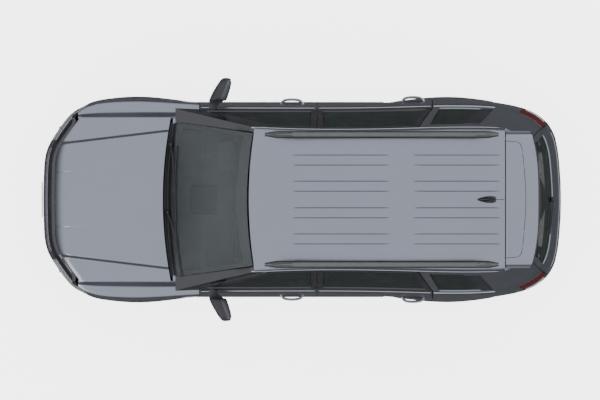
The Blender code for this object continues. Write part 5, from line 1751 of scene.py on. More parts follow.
@dataclass
class Roof:
    """Roof panel with pressed ribs, rails, antenna fin and a thin dark strip of painted shadow behind the
    fin.
    """

    wall: float = 0.045
    ribs: tuple[float, ...] = (0.125, 0.370)
    rib_half: float = 0.047
    rib_runs: tuple[tuple[float, float], ...] = ((0.108, -0.853), (-1.042, -1.872))
    rib_rise: float = 0.0015
    rib_groove: float = 0.0065

    def rib(self, x: np.ndarray, y: float) -> np.ndarray:
        """How far the pressed ribs, each in a narrow groove, stand above the skin.

        Args:
            x: places along the roof.
            y: distance from the centre line.

        Returns:
            The rise at each x.
        """
        out = np.zeros_like(x)
        for centre in self.ribs:
            past = abs(y - centre) - self.rib_half
            groove = self.rib_groove * math.exp(-((past / 0.0025) ** 2))
            step = self.rib_rise * float(ease(0.004, -0.004, past)) - groove
            for ahead, behind in self.rib_runs:
                out += step * np.minimum(ease(ahead, ahead - 0.06, x), ease(behind, behind + 0.06, x))
        return out

    def grid(self, ribbed: bool) -> np.ndarray:
        """The skin, from the centre line to the left and from front to rear.

        Args:
            ribbed: whether the ribs are pressed in.

        Returns:
            The grid of points.
        """
        edges = [centre + way * self.rib_half for centre in self.ribs for way in (1, -1)]
        lanes = [*crowded(np.linspace(0.0, 0.57, 20), edges, 0.004), *np.linspace(0.594, 0.66, 7)]
        ends = [x for run in self.rib_runs for x in run]
        stations = crowded(np.linspace(FORM.roof_rear, 0.400, 50), ends, 0.012)[::-1]
        half = np.zeros((len(lanes), len(stations) + 1, 3))
        for k, y in enumerate(lanes):
            x = np.insert(stations, 0, 0.495 - 0.055 * (y / 0.66) ** 2)
            if y < 0.59:
                rise = self.rib(x, y) if ribbed else 0.0
                half[k] = np.stack([x, np.full_like(x, y), FORM.roof_z(x, y) + rise], -1)
                continue
            edge_z = FORM.roof_edge(np.maximum(x, FORM.roof_rear))
            turn = (y - 0.594) / 0.066 * math.pi / 2
            across = 0.594 + (FORM.side_y(x, edge_z) - 0.594) * math.sin(turn)
            start = FORM.roof_z(x, 0.594)
            half[k] = np.stack([x, across, edge_z + (start - edge_z) * math.cos(turn)], -1)
        return np.concatenate([mirrored(half[:0:-1], -1), half])

    def build(self) -> None:
        """Builds and dresses the roof and what stands on it."""
        outer, plain = self.grid(True), self.grid(False)
        inner = moved(plain, self.wall, (0, 0, -1))
        rim = np.abs(outer[:, 0, 1]) > 0.59
        floor = FORM.roof_edge(outer[..., 0]) + 0.004
        inner[..., 2] = np.where(rim[:, None], np.maximum(inner[..., 2], floor), inner[..., 2])
        for line in (0, -1):
            inner[line] = outer[line] - mirrored((0.0, 0.018, 0.0), np.sign(outer[line, 0, 1]))
            inner[line, :, 2] += 0.004
        dressed("roof_skin", outer, inner, PAINT, node="roof_panel")
        lining = plain[8:-8, 2:-2] - np.array([0, 0, 0.046])
        below = lining - np.array([0, 0, 0.006])
        dressed("headlining", lining, below, PALE, bevel=0.002)
        for side in (1, -1):
            self.rail(side)
        self.antenna()

    def rail(self, side: float) -> None:
        """A raised rail with tapered ends, its centre foot and its dark base.

        Args:
            side: 1 for left, -1 for right.
        """
        node = side_name("roof_rail", side)
        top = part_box(node)[1][2]
        xs = np.array(
            [0.345, 0.30, 0.24, 0.18, 0.10, 0.0, -0.4, -0.9, -1.4, -1.62, -1.70, -1.76, -1.82, -1.85]
        )
        xs = finer(xs, 3)
        rest = FORM.roof_z(xs, 0.605)
        lift = np.minimum(ease(0.345, 0.12, xs), ease(-1.85, -1.63, xs))
        crest = rest + 0.006 + (top - rest - 0.006) * lift
        under = np.minimum(crest - 0.012, np.where((xs < 0.10) & (xs > -1.64), top - 0.034, rest + 0.001))
        under = np.maximum(under, rest + 0.001)
        width = 0.006 + 0.0170 * np.minimum(ease(0.35, 0.22, xs), ease(-1.86, -1.74, xs))
        middle = 0.610
        lanes = [middle + way * (width + 0.011) for way in np.linspace(-1, 1, 7)]
        base = np.array([np.stack([xs, lane, FORM.roof_z(xs, lane) + 0.0015], -1) for lane in lanes])
        below = base - np.array([0, 0, 0.006])
        dressed(f"{node}_base", base, below, BLACK, side)
        ring = [
            (-1.0, 0.0), (-1.0, 0.62), (-0.75, 0.9), (-0.3, 1.0), (0.3, 1.0), (0.75, 0.9), (1.0, 0.62),
            (1.0, 0.0)
        ]
        outer = np.array([
            np.stack([xs, middle + a * width, under + (crest - under) * b], -1) for a, b in ring
        ])
        inner = outer.copy()
        inner[..., 1] = middle
        inner[..., 2] = (under + (crest - under) * 0.02)[None, :]
        inner[..., 1] += (outer[..., 1] - middle) * 0.2
        dressed(f"{node}_bar", outer, inner, RAIL, side, node=node)
        for x in (0.245, -0.720, -1.760):
            rest_z, y = float(FORM.roof_z(x, middle)), side * middle
            crest_z = max(rest_z + 0.004, top - 0.022) if x == -0.720 else rest_z + 0.012
            foot = Bench.block(
                f"{node}_foot_{abs(int(x * 100))}", (x - 0.050, y - 0.013, rest_z - 0.010),
                (x + 0.050, y + 0.013, crest_z), 0.004, 2, (0.8, 0.8),
            )
            fit(foot, BLACK, "body")

    def antenna(self) -> None:
        """The shark-fin antenna and, behind it, a thin dark strip that is the fin's painted shadow."""
        stations = [
            (-1.650, 0.006, 0.008), (-1.690, 0.022, 0.022), (-1.740, 0.032, 0.040),
            (-1.790, 0.034, 0.058), (-1.822, 0.026, 0.062), (-1.828, 0.018, 0.012)
        ]
        ring = [
            (-1.0, 0.0), (-0.9, 0.25), (-0.45, 0.55), (-0.12, 0.95), (0.0, 1.0), (0.12, 0.95),
            (0.45, 0.55), (0.9, 0.25), (1.0, 0.0)
        ]
        xs, ws, hs = (finer(column, 4) for column in zip(*stations))
        lift = FORM.roof_z(xs, 0.0)
        outer = np.array([np.stack([xs, a * ws, lift + 0.001 + b * hs], -1) for a, b in ring])
        inner = outer.copy()
        inner[..., 1] *= 0.3
        inner[..., 2] = lift[None, :] + 0.0008
        dressed("antenna_fin", outer, inner, GLOSS)
        # A dark rubber strip along the roof behind the fin: painted shadow of the fin.
        seam = [(x, 0.0, float(FORM.roof_z(x, 0.0)) + 0.0012) for x in (-1.66, -1.75, -1.84, -1.905)]
        fit(Bench.tube("antenna_seam", seam, 0.0025, 0.6), SEAL, "body")


@dataclass
class Screen:
    """Windscreen with its dark border, wipers and cowl."""

    def sheet(self, low: float, high: float, left: float, right: float, rows: int, columns: int,
              lift: float = 0.0) -> np.ndarray:
        """Points of the glass between shares of its height and width.

        Args:
            low: share of the height where it starts.
            high: share of the height where it ends.
            left: share of the half-width where it starts, from -1.
            right: share of the half-width where it ends, up to 1.
            rows: how many points up.
            columns: how many points across.
            lift: how far above the glass.

        Returns:
            The grid of points.
        """
        share, step = np.meshgrid(
            np.linspace(low, high, rows), np.linspace(left, right, columns), indexing="ij"
        )
        foot = np.stack([1.222 - 0.055 * step**2, 0.730 * step, 1.178 - 0.012 * step**2], -1)
        head_x, head_y = 0.514 - 0.055 * step**2, 0.622 * step
        head = np.stack([head_x, head_y, FORM.roof_z(head_x, head_y) - 0.010], -1)
        bulge = (np.sin(share * math.pi) * (1 - step**2))[..., None] * np.array([0.015, 0.0, 0.0255])
        points = foot + (head - foot) * share[..., None] + bulge
        return points + np.array([0.55, 0.0, 0.83]) * lift

    def build(self) -> None:
        """Builds and dresses the windscreen, its border, wipers and cowl."""
        outer = self.sheet(0, 1, -1, 1, 25, 33)
        glass = Bench.wall("windscreen_pane", outer, moved(outer, 0.006, (0, 0, -1)), None, 1, 0.001)
        fit(glass, SCREEN, "body", "windscreen")
        edge = self.sheet(0, 1, -1, 1, 25, 33, -0.0066)
        keep = np.zeros((24, 32), bool)
        keep[:2] = keep[-3:] = True
        keep[:, :1] = keep[:, -1:] = True
        border = Bench.wall("windscreen_border", edge, edge - np.array([0, 0, 0.0015]), keep, 1, 0)
        fit(border, GLOSS, "body")
        self.wipers()
        self.cowl()

    def wipers(self) -> None:
        """Two parked wipers, each an arm, a blade and a pivot cap."""
        for k, (pivot, tip) in enumerate(((-0.52, 0.10), (0.12, 0.60))):
            def spot(share: float, step: float, lift: float) -> np.ndarray:
                """A point over the glass."""
                return self.sheet(share, share, step, step, 1, 1, lift)[0, 0]

            foot = np.array([float(FORM.hood_rear(pivot)) - 0.040, pivot, 1.166])
            elbow = spot(0.045, (pivot * 0.6 + tip * 0.4) / 0.73, 0.022)
            hold = spot(0.050, (pivot * 0.25 + tip * 0.75) / 0.73, 0.016)
            arm = Bench.tube(
                f"wiper_arm_{k}", [foot, (foot + elbow) / 2 + np.array([0, 0, 0.006]), elbow, hold],
                0.0065,
            )
            reach = tip + (0.10 if k else 0.06)
            route = [
                spot(0.040 + 0.018 * s, (pivot * (1 - s) + reach * s) / 0.73 - 0.03, 0.008)
                for s in np.linspace(0.05, 1.12, 9)
            ]
            blade = Bench.tube(f"wiper_blade_{k}", route, 0.0060)
            cap = Bench.turned(
                f"wiper_cap_{k}",
                [(0.0, 0.0), (0.0, 0.018), (0.012, 0.016), (0.018, 0.008), (0.019, 0.0)],
                foot - np.array([0, 0, 0.006]), "Z", 24,
            )
            for piece in (arm, blade, cap):
                fit(piece, BLACK, "body")

    def cowl(self) -> None:
        """The slotted cowl between hood and glass."""
        steps = np.linspace(-1, 1, 73)
        profile = [
            (0.0, 1.124), (0.12, 1.128), (0.30, 1.122), (0.36, 1.134), (0.55, 1.138), (0.62, 1.130),
            (0.80, 1.150), (1.0, 1.158)
        ]
        rows = []
        for share, z in profile:
            y = 0.728 * steps
            ahead, behind = FORM.hood_rear(y) - 0.004, 1.216 - 0.050 * steps**2
            slot = 0.004 * (np.arange(73) % 2) * (0.36 <= share <= 0.55)
            rows.append(np.stack([ahead + (behind - ahead) * share, y, z - 0.020 * steps**2 - slot], -1))
        outer = np.array(rows)
        dressed("cowl_cover", outer, outer - np.array([0, 0, 0.018]), BLACK, node="cowl_panel")


@dataclass
class Nose:
    """Grille, headlamps, brow, front bumper and plate."""

    grille_half: float = 0.555
    brow_reach: float = 2.154

    def build(self) -> None:
        """Builds and dresses everything ahead of the hood."""
        self.grille()
        self.brow()
        self.bumper()
        for side in (1, -1):
            self.lamp(side)
        plate = Nose.plate("number_plate_front", 1)
        fit(plate, PLATE, "body", "number_plate_front")

    @staticmethod
    def plate(node: str, way: int) -> Object:
        """A blank plate with a raised rim, facing ahead for way 1 and back for -1.

        Args:
            node: the plate's frame node.
            way: which way it faces.

        Returns:
            The plate.
        """
        low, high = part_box(node)
        outline = [(low[1], low[2]), (high[1], low[2]), (high[1], high[2]), (low[1], high[2])]
        piece = Bench.prism(f"{node}_blank", outline, low[0], high[0], "X", 0.0)
        Bench.pick(piece, [face.normal.x * way > 0.9 for face in piece.data.polygons])
        Bench.edit(
            piece, lambda: bpy.ops.mesh.inset(thickness=0.008),
            lambda: bpy.ops.transform.translate(value=(-0.0012 * way, 0, 0)),
        )
        return Bench.refine(piece, 0.0008, 2)

    def grille(self) -> None:
        """A frame, three wide slats with bright edges, and mesh behind them."""
        reach = FORM.across_nose(self.grille_half)
        lengths = np.linspace(-reach, reach, 61)
        rows = finer([FORM.bumper_top, 0.735, 0.790, 0.815, 0.870, 0.895, 0.950, 0.980, 1.030], 3)
        keep = np.ones((24, 60), bool)
        for slot in (1, 3, 5):
            keep[slot * 3 : slot * 3 + 3, 3:-3] = False
        outer = FORM.nose_grid(lengths, rows)
        inner = outer - np.array([0.036, 0.0, 0.0])
        fit(Bench.wall("grille_frame", outer, inner, keep, 1, 0.003, 2), GLOSS, "body", "grille")
        for k, z in enumerate((0.802, 0.882, 0.965)):
            band = FORM.nose_grid(lengths[4:-4], [z - 0.006, z - 0.003, z + 0.003, z + 0.006])
            lift = np.array([0.004, 0.0, 0.0])
            front = band + lift * np.array([0.4, 1, 1, 0.4])[:, None, None]
            dressed(f"grille_bright_{k}", front, band - lift, BRIGHT)
        mesh_rows = np.linspace(0.725, 0.960, 48)
        back = FORM.nose_grid(np.linspace(-reach * 0.97, reach * 0.97, 181), mesh_rows)
        row, column = np.arange(48)[:, None], np.arange(181)[None, :]
        ripple = (row % 4 < 1) | ((column + 3 * (row // 4 % 2)) % 6 < 1)
        back[..., 0] += 0.006 * ripple - 0.026
        dressed("grille_mesh", back, back - np.array([0.006, 0, 0]), BLACK)

    def brow(self) -> None:
        """The dark panel that closes the nose between grille, lamps and hood."""
        reach = float(FORM.along_side(self.brow_reach))
        half = np.linspace(0, reach, 49)
        rows = []
        base_z = np.where(half < FORM.across_nose(self.grille_half), 1.031, FORM.lamp_top - 0.002)
        base = FORM.hull(half, base_z)
        share_y = base[:, 1] / base[-1, 1]
        top_y = 0.779 * share_y
        top_x = FORM.hood_front(top_y) + 0.006 + (0.055 * ease(0.86, 1.0, share_y))
        top_z = FORM.hood_z(np.minimum(top_x, 2.32), top_y) - 0.022
        top = np.stack([top_x, top_y, top_z], -1)
        for t in np.linspace(0, 1, 9):
            swell = 0.012 * math.sin(t * math.pi)
            rows.append(base + (top - base) * t + np.array([0.5, 0.0, 0.8]) * swell)
        behind = top - np.array([0.030, 0.0, 0.004])
        behind[:, 1] *= 0.985
        rows.append(behind)
        outer = both_halves(np.array(rows))
        dressed("nose_brow", outer, outer - np.array([0.006, 0, 0.010]), GLOSS, bevel=0.002)

    def lamp(self, side: float) -> None:
        """A headlamp: clear cover, dark housing, two projectors and a light bar.

        Args:
            side: 1 for left, -1 for right.
        """
        name = side_name("headlamp", side)
        start, end = FORM.across_nose(0.562), float(FORM.along_side(2.050))
        lengths = np.linspace(start, end, 29)
        rows = np.linspace(FORM.bumper_top + 0.004, FORM.lamp_top - 0.006, 15)
        outer = FORM.nose_grid(lengths, rows)
        turn = np.linspace(0.25, 1.35, 29)
        into = np.stack([np.cos(turn), np.sin(turn), np.zeros(29)], -1)[None]
        cover = Bench.wall(f"{name}_cover", outer, outer - into * 0.003, None, side, 0)
        fit(cover, CLEAR, "body", name)
        depth = np.full(outer.shape[:2], 0.052)
        depth[[0, -1], :] = 0.004
        depth[:, [0, -1]] = 0.004
        shell = outer - into * depth[..., None]
        dressed(f"{name}_housing", shell, shell - into * 0.003, GLOSS, side)
        bar = FORM.nose_grid(lengths[2:-1], [0.938, 0.944, 0.956, 0.962]) - into[:, 2:-1] * 0.014
        dressed(f"{name}_daylight_bar", bar, bar - into[:, 2:-1] * 0.010, LIGHT, side, 0.001)
        for k, s in enumerate((start + 0.075, start + 0.175)):
            centre = FORM.hull(s, 0.850) - np.array([0.060, 0.030 * (k + 0.4), 0.0])
            centre[1] *= side
            ring = [(0.0, 0.0), (0.0, 0.036), (0.014, 0.034), (0.027, 0.026), (0.034, 0.012), (0.036, 0.0)]
            fit(Bench.turned(f"{name}_projector_{k}", ring, centre, "X", 32), LENS, "body")
            bezel = [(0.037, -0.004), (0.037, 0.016), (0.041, 0.018), (0.046, 0.014), (0.047, -0.004)]
            fit(Bench.turned(f"{name}_bezel_{k}", bezel, centre, "X", 32), BRIGHT, "body")
        amber = FORM.nose_grid(lengths[-9:-2], [0.730, 0.740, 0.765, 0.775]) - into[:, -9:-2] * 0.016
        dressed(f"{name}_indicator", amber, amber - into[:, -9:-2] * 0.008, AMBER, side, 0.001)

    def bumper(self) -> None:
        """The front bumper with its intake, bright skid plate and fog lamps."""
        arch = float(FORM.along_side(FORM.front_axle + FORM.arch + 0.002))
        half = [FORM.across_nose(y) for y in (0.0, 0.22, 0.43, 0.56, 0.70, 0.80)]
        half += [(FORM.across_nose(0.80) + arch) / 2, arch]
        rows = [0.320, 0.385, 0.450, 0.560, 0.640, FORM.bumper_top - 0.004]
        row_parts, parts = (3, 3, 4, 3, 3), 4
        lengths = finer(half, parts)
        levels = finer(rows, row_parts)
        outer = FORM.nose_grid(lengths, levels)
        for j, z in enumerate(levels):
            x = FORM.arch_x(FORM.front_axle, float(z), 1) + 0.004
            share = ease(len(lengths) - 1 - parts, len(lengths) - 1, np.arange(len(lengths)))
            outer[j, :, 0] += share * (x - outer[j, -1, 0])
            outer[j, -1, 1] = FORM.side_y(x, z)
        swell = np.exp(-(((outer[..., 2] - 0.600) / 0.03) ** 2)) - 1
        outer[:, :, 0] += 0.006 * swell * (outer[..., 1] < 0.6)
        whole = both_halves(outer)
        inner = whole.copy()
        inner[..., 0] -= 0.030 * ease(0.93, 0.75, np.abs(whole[..., 1])) + 0.004
        inner[..., 1] -= np.sign(whole[..., 1]) * 0.020 * ease(0.70, 0.90, np.abs(whole[..., 1]))
        keep = np.ones((5, 14), bool)
        keep[2, 5:9] = False
        mask = spread(keep, row_parts, (parts,) * 14)
        fit(
            Bench.wall("front_bumper_cover", whole, inner, mask, 1, 0.003, 2), BLACK, "body",
            "front_bumper",
        )
        reach = FORM.across_nose(0.43)
        back = FORM.nose_grid(np.linspace(-reach, reach, 121), np.linspace(0.440, 0.570, 27))
        ripple = (np.arange(27) % 3 < 1)[:, None] | (np.arange(121) % 5 < 1)[None, :]
        back[..., 0] += 0.006 * ripple - 0.055
        dressed("bumper_mesh", back, back - np.array([0.006, 0, 0]), BLACK)
        reach = FORM.across_nose(0.36)
        skid = FORM.nose_grid(np.linspace(-reach, reach, 33), [0.330, 0.345, 0.395, 0.415])
        lift = np.array([0.006, 0, 0])
        front = skid + lift * np.array([0, 1, 1, 0])[:, None, None]
        dressed("skid_plate", front, skid - lift, RAIL, bevel=0.002)
        for side in (1, -1):
            centre = FORM.hull(FORM.across_nose(0.640), 0.470) - np.array([0.030, 0, 0])
            centre[1] *= side
            ring = [(0.0, 0.0), (0.0, 0.018), (0.022, 0.016), (0.036, 0.010), (0.040, 0.0)]
            fit(Bench.turned(side_name("fog_lamp", side), ring, centre, "X", 32), LENS, "body")
            ring = [(0.040, -0.004), (0.040, 0.014), (0.046, 0.018), (0.054, 0.012), (0.056, -0.004)]
            fit(Bench.turned(side_name("fog_bezel", side), ring, centre, "X", 32), GLOSS, "body")


@dataclass
class Tail:
    """Tailgate with spoiler and glass, tail lamps, rear bumper and plate."""

    spoiler_drop: tuple[float, ...] = (0.058, 0.052, 0.040, 0.030)

    def build(self) -> None:
        """Builds and dresses the tail."""
        self.gate()
        self.spoiler()
        self.bumper()
        for side in (1, -1):
            self.lamp(side)
        fit(Nose.plate("number_plate_rear", -1), PLATE, "tailgate", "number_plate_rear")

    def gate(self) -> None:
        """The gate, its pane, wiper, grip bar and inner lining."""
        lanes = both((0.0, 0.26, 0.50, 0.655, FORM.gate_half))
        rows = [FORM.gate_bottom, 0.800, 0.950, 1.080, 1.140, 1.185, 1.330, 1.480, 1.600, 1.700]
        parts, across = (3, 5, 4, 3, 2, 4, 4, 3, 3), (3, 6, 6, 6, 6, 6, 6, 3)
        fine = FORM.tail_grid(finer(lanes, across), finer(rows, parts))
        fine[..., 0] += 0.020 * ease(1.60, 1.70, fine[..., 2])
        depth = blended(np.array([0.085] * 5 + [0.050] * 5)[:, None] * np.ones((10, 9)), parts, across)
        inner = fine + depth[..., None] * np.array([1.0, 0.0, 0.0])
        keep = np.ones((9, 8), bool)
        keep[5:8, 1:-1] = False
        gate = Bench.wall("tailgate_shell", fine, inner, spread(keep, parts, across), 1, 0.002, 2)
        fit(gate, PAINT, "tailgate", "tailgate")
        rows_up, wide = finer(rows[5:9], 8), finer(lanes[1:-1], 8)
        pane = FORM.tail_grid(wide, rows_up)
        middle = pane.reshape(-1, 3).mean(0)
        pane = middle + (pane - middle) * np.array([1.0, 0.996, 0.992])
        pane[..., 0] += FORM.glass_in
        dressed(
            "tailgate_pane", pane, pane + np.array([FORM.glass, 0, 0]), TINT, bevel=0.0008,
            body="tailgate", node="tailgate_glass",
        )
        band = FORM.tail_grid(np.linspace(-0.640, 0.640, 49), [0.968, 0.974, 1.006, 1.012])
        lift = np.array([-0.007, 0, 0]) * np.array([0.3, 1, 1, 0.3])[:, None, None]
        dressed(
            "tailgate_bright_bar", band + lift, band + np.array([0.004, 0, 0]), BRIGHT, bevel=0.001,
            body="tailgate",
        )
        hub = FORM.hull(FORM.across_tail(0.02), 1.215) - np.array([0.004, 0, 0])
        hub[1] = 0.0
        cap = [(0.0, -0.026), (0.0, 0.004), (0.024, 0.004), (0.024, -0.012), (0.016, -0.024)]
        fit(Bench.turned("rear_wiper_cap", cap, hub, "X", 24), BLACK, "tailgate")
        sweep = [(FORM.across_tail(0.02 + 0.34 * s), 1.225 + 0.02 * s) for s in np.linspace(0, 1, 7)]
        route = [FORM.hull(s, z) - np.array([0.012, 0, 0]) for s, z in sweep]
        fit(Bench.tube("rear_wiper", route, 0.006), BLACK, "tailgate")
        lining = FORM.tail_grid(finer(lanes[1:-1], 3), finer([0.76, 0.95, 1.08, 1.14], 4))
        lining[..., 0] += 0.086
        dressed(
            "tailgate_lining", lining, lining + np.array([0.012, 0, 0]), TRIM, bevel=0.003,
            body="tailgate",
        )

    def spoiler(self) -> None:
        """The roof spoiler, with its U-shaped seam and high lamp."""
        half = []
        for y in finer((0.0, 0.25, 0.48, 0.60, FORM.spoiler_half), (8, 8, 5, 4)):
            trail = FORM.spoiler_trail + 0.075 * (y / FORM.spoiler_half) ** 3
            lead = FORM.roof_rear - FORM.gap
            xs = lead + (trail - lead) * finer((0.0, 0.35, 0.8, 1.0), 5)
            z = FORM.roof_z(xs, y) - 0.030 * ease(0.60, 0.645, y)
            drop = np.interp(np.linspace(0, 1, len(xs)), (0, 0.33, 0.66, 1.0), self.spoiler_drop)
            z = z - 0.012 * ease(0.93, 1.0, np.linspace(0, 1, len(xs)))
            half.append([np.stack([xs, np.full_like(xs, y), up], -1) for up in (z, z - drop + 0.006)])
        grids = np.array(half)
        top, under = (np.concatenate([mirrored(grids[:0:-1, k], -1), grids[:, k]]) for k in (0, 1))
        fit(Bench.wall("tail_spoiler", top, under, None, 1, 0.003, 2), PAINT, "tailgate")
        bend = [
            (-1.922, 0.548), (-1.990, 0.546), (-2.035, 0.540), (-2.058, 0.520), (-2.072, 0.480),
            (-2.084, 0.360), (-2.098, 0.200), (-2.106, 0.070),
        ]
        around = [(x, -y) for x, y in bend] + bend[::-1]
        seam = [(x, y, float(FORM.roof_z(x, y)) + 0.0006) for x, y in around]
        fit(Bench.tube("spoiler_seam", seam, 0.0026, 0.5), SEAL, "tailgate")
        low = float(FORM.roof_z(FORM.spoiler_trail, 0.0)) - 0.036
        rear = FORM.spoiler_trail - 0.002
        lamp = Bench.block("high_stop_lamp", (rear, -0.150, low), (rear + 0.018, 0.150, low + 0.014), 0.003)
        fit(lamp, RED, "tailgate")

    def lamp(self, side: float) -> None:
        """A tail lamp: a stepped red cover and a light guide.

        Args:
            side: 1 for left, -1 for right.
        """
        name = side_name("tail_lamp", side)
        start, end = float(FORM.along_side(-2.104)), FORM.across_tail(0.716)
        lengths = np.linspace(start, end, 25)
        rows = np.linspace(FORM.tail_lamp[0] + 0.004, FORM.tail_lamp[1] - 0.004, 21)
        outer = FORM.nose_grid(lengths, rows)
        turn = np.radians(
            np.interp(np.linspace(0, 1, 25), (0, 0.2, 0.45, 0.7, 0.9, 1), (20, 35, 50, 65, 80, 88))
        )
        into = np.stack([np.sin(turn), -np.cos(turn), np.zeros(25)], -1)[None]
        swell = -0.003 * np.sin(np.linspace(0, math.pi, 21))[:, None, None] * into
        flute = np.where((np.arange(21) % 4 == 2)[:, None, None], into * 0.003, 0.0)
        cover = Bench.wall(f"{name}_cover", outer + swell + flute, outer + into * 0.030, None, side, 0.0008)
        fit(cover, RED, "body", name)
        bar = FORM.nose_grid(lengths[3:-3], [0.986, 0.990, 1.004, 1.008]) - into[:, 3:-3] * 0.0045
        dressed(f"{name}_guide", bar, bar + into[:, 3:-3] * 0.006, LENS, side)

    def bumper(self) -> None:
        """The rear bumper with its step, reflectors and skid plate."""
        marks = [FORM.across_tail(y) for y in (0.0, 0.25, 0.48, 0.708, 0.716, 0.80)]
        marks += [float(FORM.along_side(x)) for x in (-2.10, -1.95, FORM.rear_axle - FORM.arch)]
        parts, row_parts = (6, 6, 6, 1, 3, 4, 4, 5), (3, 3, 3, 3)
        half = np.zeros((5, 9, 3))
        for j, row in enumerate([0.420, 0.480, 0.560, 0.640, None]):
            for k, s in enumerate(marks):
                top = (FORM.bumper_side_top if k > 3 else FORM.gate_bottom) - FORM.gap
                half[j, k] = s, top if row is None else row, 0
        spots = blended(half, row_parts, parts)
        outer = FORM.hull(spots[..., 0], spots[..., 1])
        for j, z in enumerate(spots[:, -1, 1]):
            x = FORM.arch_x(FORM.rear_axle, float(z), -1) - 0.004
            share = ease(len(outer[0]) - 6, len(outer[0]) - 1, np.arange(len(outer[0])))
            outer[j, :, 0] += share * (x - outer[j, -1, 0])
            outer[j, -1, 1] = FORM.side_y(x, float(z))
        whole = both_halves(outer)
        inner = whole.copy()
        inner[..., 0] += 0.045 * ease(0.92, 0.72, np.abs(whole[..., 1])) + 0.004
        inner[..., 1] -= np.sign(whole[..., 1]) * 0.040 * ease(0.70, 0.88, np.abs(whole[..., 1]))
        fit(Bench.wall("rear_bumper_cover", whole, inner, None, 1, 0.003, 2), BLACK, "body", "rear_bumper")
        for side in (1, -1):
            lengths = np.linspace(FORM.across_tail(0.74), FORM.across_tail(0.56), 9)
            mark = FORM.nose_grid(lengths, [0.520, 0.524, 0.546, 0.550])
            lift = np.array([-0.004, 0, 0]) * np.array([0.2, 1, 1, 0.2])[:, None, None]
            dressed(
                side_name("rear_reflector", side), mark + lift, mark + np.array([0.004, 0, 0]), RED, side
            )
        skid = FORM.tail_grid(np.linspace(-0.40, 0.40, 25), [0.425, 0.432, 0.470, 0.478])
        lift = np.array([-0.003, 0, 0]) * np.array([0, 1, 1, 0])[:, None, None]
        dressed("rear_skid_plate", skid + lift, skid + np.array([0.006, 0, 0]), RAIL, bevel=0.001)


@dataclass
class DoorMirror:
    """A swept door mirror: head in two tones, glass and foot."""

    side: float
    lead: tuple[tuple[float, float], ...] = (
        (0.872, 0.930), (0.858, 0.966), (0.834, 1.015), (0.806, 1.062), (0.777, 1.107), (0.746, 1.142),
    )
    trail: tuple[tuple[float, float], ...] = (
        (0.709, 0.932), (0.698, 0.964), (0.683, 1.010), (0.671, 1.052), (0.663, 1.096), (0.667, 1.139),
    )
    stations: int = 19
    turns: int = 37

    def build(self) -> None:
        """Builds and dresses the mirror within its frame node's place."""
        node, body = side_name("door_mirror", self.side), side_name("front_door", self.side)
        low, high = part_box(node)
        middle, half = (low[2] + high[2]) / 2 + 0.012, (high[2] - low[2]) / 2 - 0.016
        spots = np.linspace(0, len(self.lead) - 1, self.stations)
        fore, aft = (
            np.stack([spline(list(enumerate(column)))(spots) for column in zip(*line)], -1)
            for line in (self.lead, self.trail)
        )
        along = np.linspace(0, 1, self.stations)
        crown = np.sqrt(np.clip(1 - np.abs(2 * along - 1) ** 3.2 * np.where(along < 0.5, 0.55, 0.86), 0, 1))
        shell = np.zeros((self.turns, self.stations, 3))
        for k, turn in enumerate(np.linspace(0, math.tau, self.turns)):
            across = 0.5 + 0.5 * math.copysign(abs(math.cos(turn)) ** 0.72, math.cos(turn))
            rise = math.copysign(abs(math.sin(turn)) ** 0.70, math.sin(turn))
            flat = aft + (fore - aft) * across
            shell[k] = np.stack([flat[:, 0], flat[:, 1], middle + rise * crown * half], -1)
        hub = shell.mean(axis=0, keepdims=True)
        head = Bench.wall(f"{node}_head", shell, hub + (shell - hub) * 0.80, None, self.side, 0)
        fit(head, BLACK, body, node)
        for k, name, way in ((0, "root", -1), (-1, "tip", 1)):
            bulge = np.array([0.0, 0.006 * way, 0.0])
            fan = np.array([
                hub[0, k] + (shell[:, k] - hub[0, k]) * share + bulge * (1 - share**2)
                for share in (0.03, 0.3, 0.6, 0.85, 1.0)
            ])
            deep = fan - np.array([0.0, 0.004 * way, 0.0])
            dressed(f"{node}_{name}", fan, deep, BLACK, self.side, body=body)
        rear = slice(self.turns // 4 + 1, self.turns // 2 - 1)
        cap, under = (hub + (shell[rear] - hub) * size for size in (1.014, 0.99))
        dressed(f"{node}_band", cap[:, 1:-1], under[:, 1:-1], GREY, self.side, body=body)
        self.glass(node, body, shell[self.turns // 2, 2:-2])
        self.foot(node, body)

    def glass(self, node: str, body: str, edge: np.ndarray) -> None:
        """The mirror glass, on the head's rear face.

        Args:
            node: the mirror's frame node.
            body: the door's body.
            edge: points along the middle of the head's rear face.
        """
        rows = [edge + np.array([-0.003, 0.0, rise]) for rise in np.linspace(-0.052, 0.052, 7)]
        pane = np.array(rows)
        piece = Bench.wall(f"{node}_glass", pane, pane + np.array([0.004, 0, 0]), None, self.side, 0.001)
        fit(piece, BRIGHT, body)

    def foot(self, node: str, body: str) -> None:
        """The foot that joins the head to the door's front corner.

        Args:
            node: the mirror's frame node.
            body: the door's body.
        """
        stations = (
            (0.0, 0.036, 1.150, 0.030), (0.35, 0.044, 1.160, 0.030), (0.7, 0.062, 1.176, 0.034),
            (1.0, 0.078, 1.196, 0.044),
        )
        rows = []
        for share, half, middle, tall in stations:
            ring = []
            for turn in np.linspace(0, math.tau, 25):
                c, s = math.cos(turn), math.sin(turn)
                x = 0.840 - 0.046 * share + half * math.copysign(abs(c) ** 0.7, c)
                z = middle + tall * math.copysign(abs(s) ** 0.7, s)
                y = 0.875 + 0.065 * share if share else float(FORM.side_y(x, z)) + 0.001
                ring.append((x, y, z))
            rows.append(ring)
        outer = np.array(rows)
        core = outer.mean(axis=1, keepdims=True)
        piece = Bench.wall(f"{node}_foot", outer, core + (outer - core) * 0.6, None, self.side, 0.0)
        fit(piece, GREY, body)


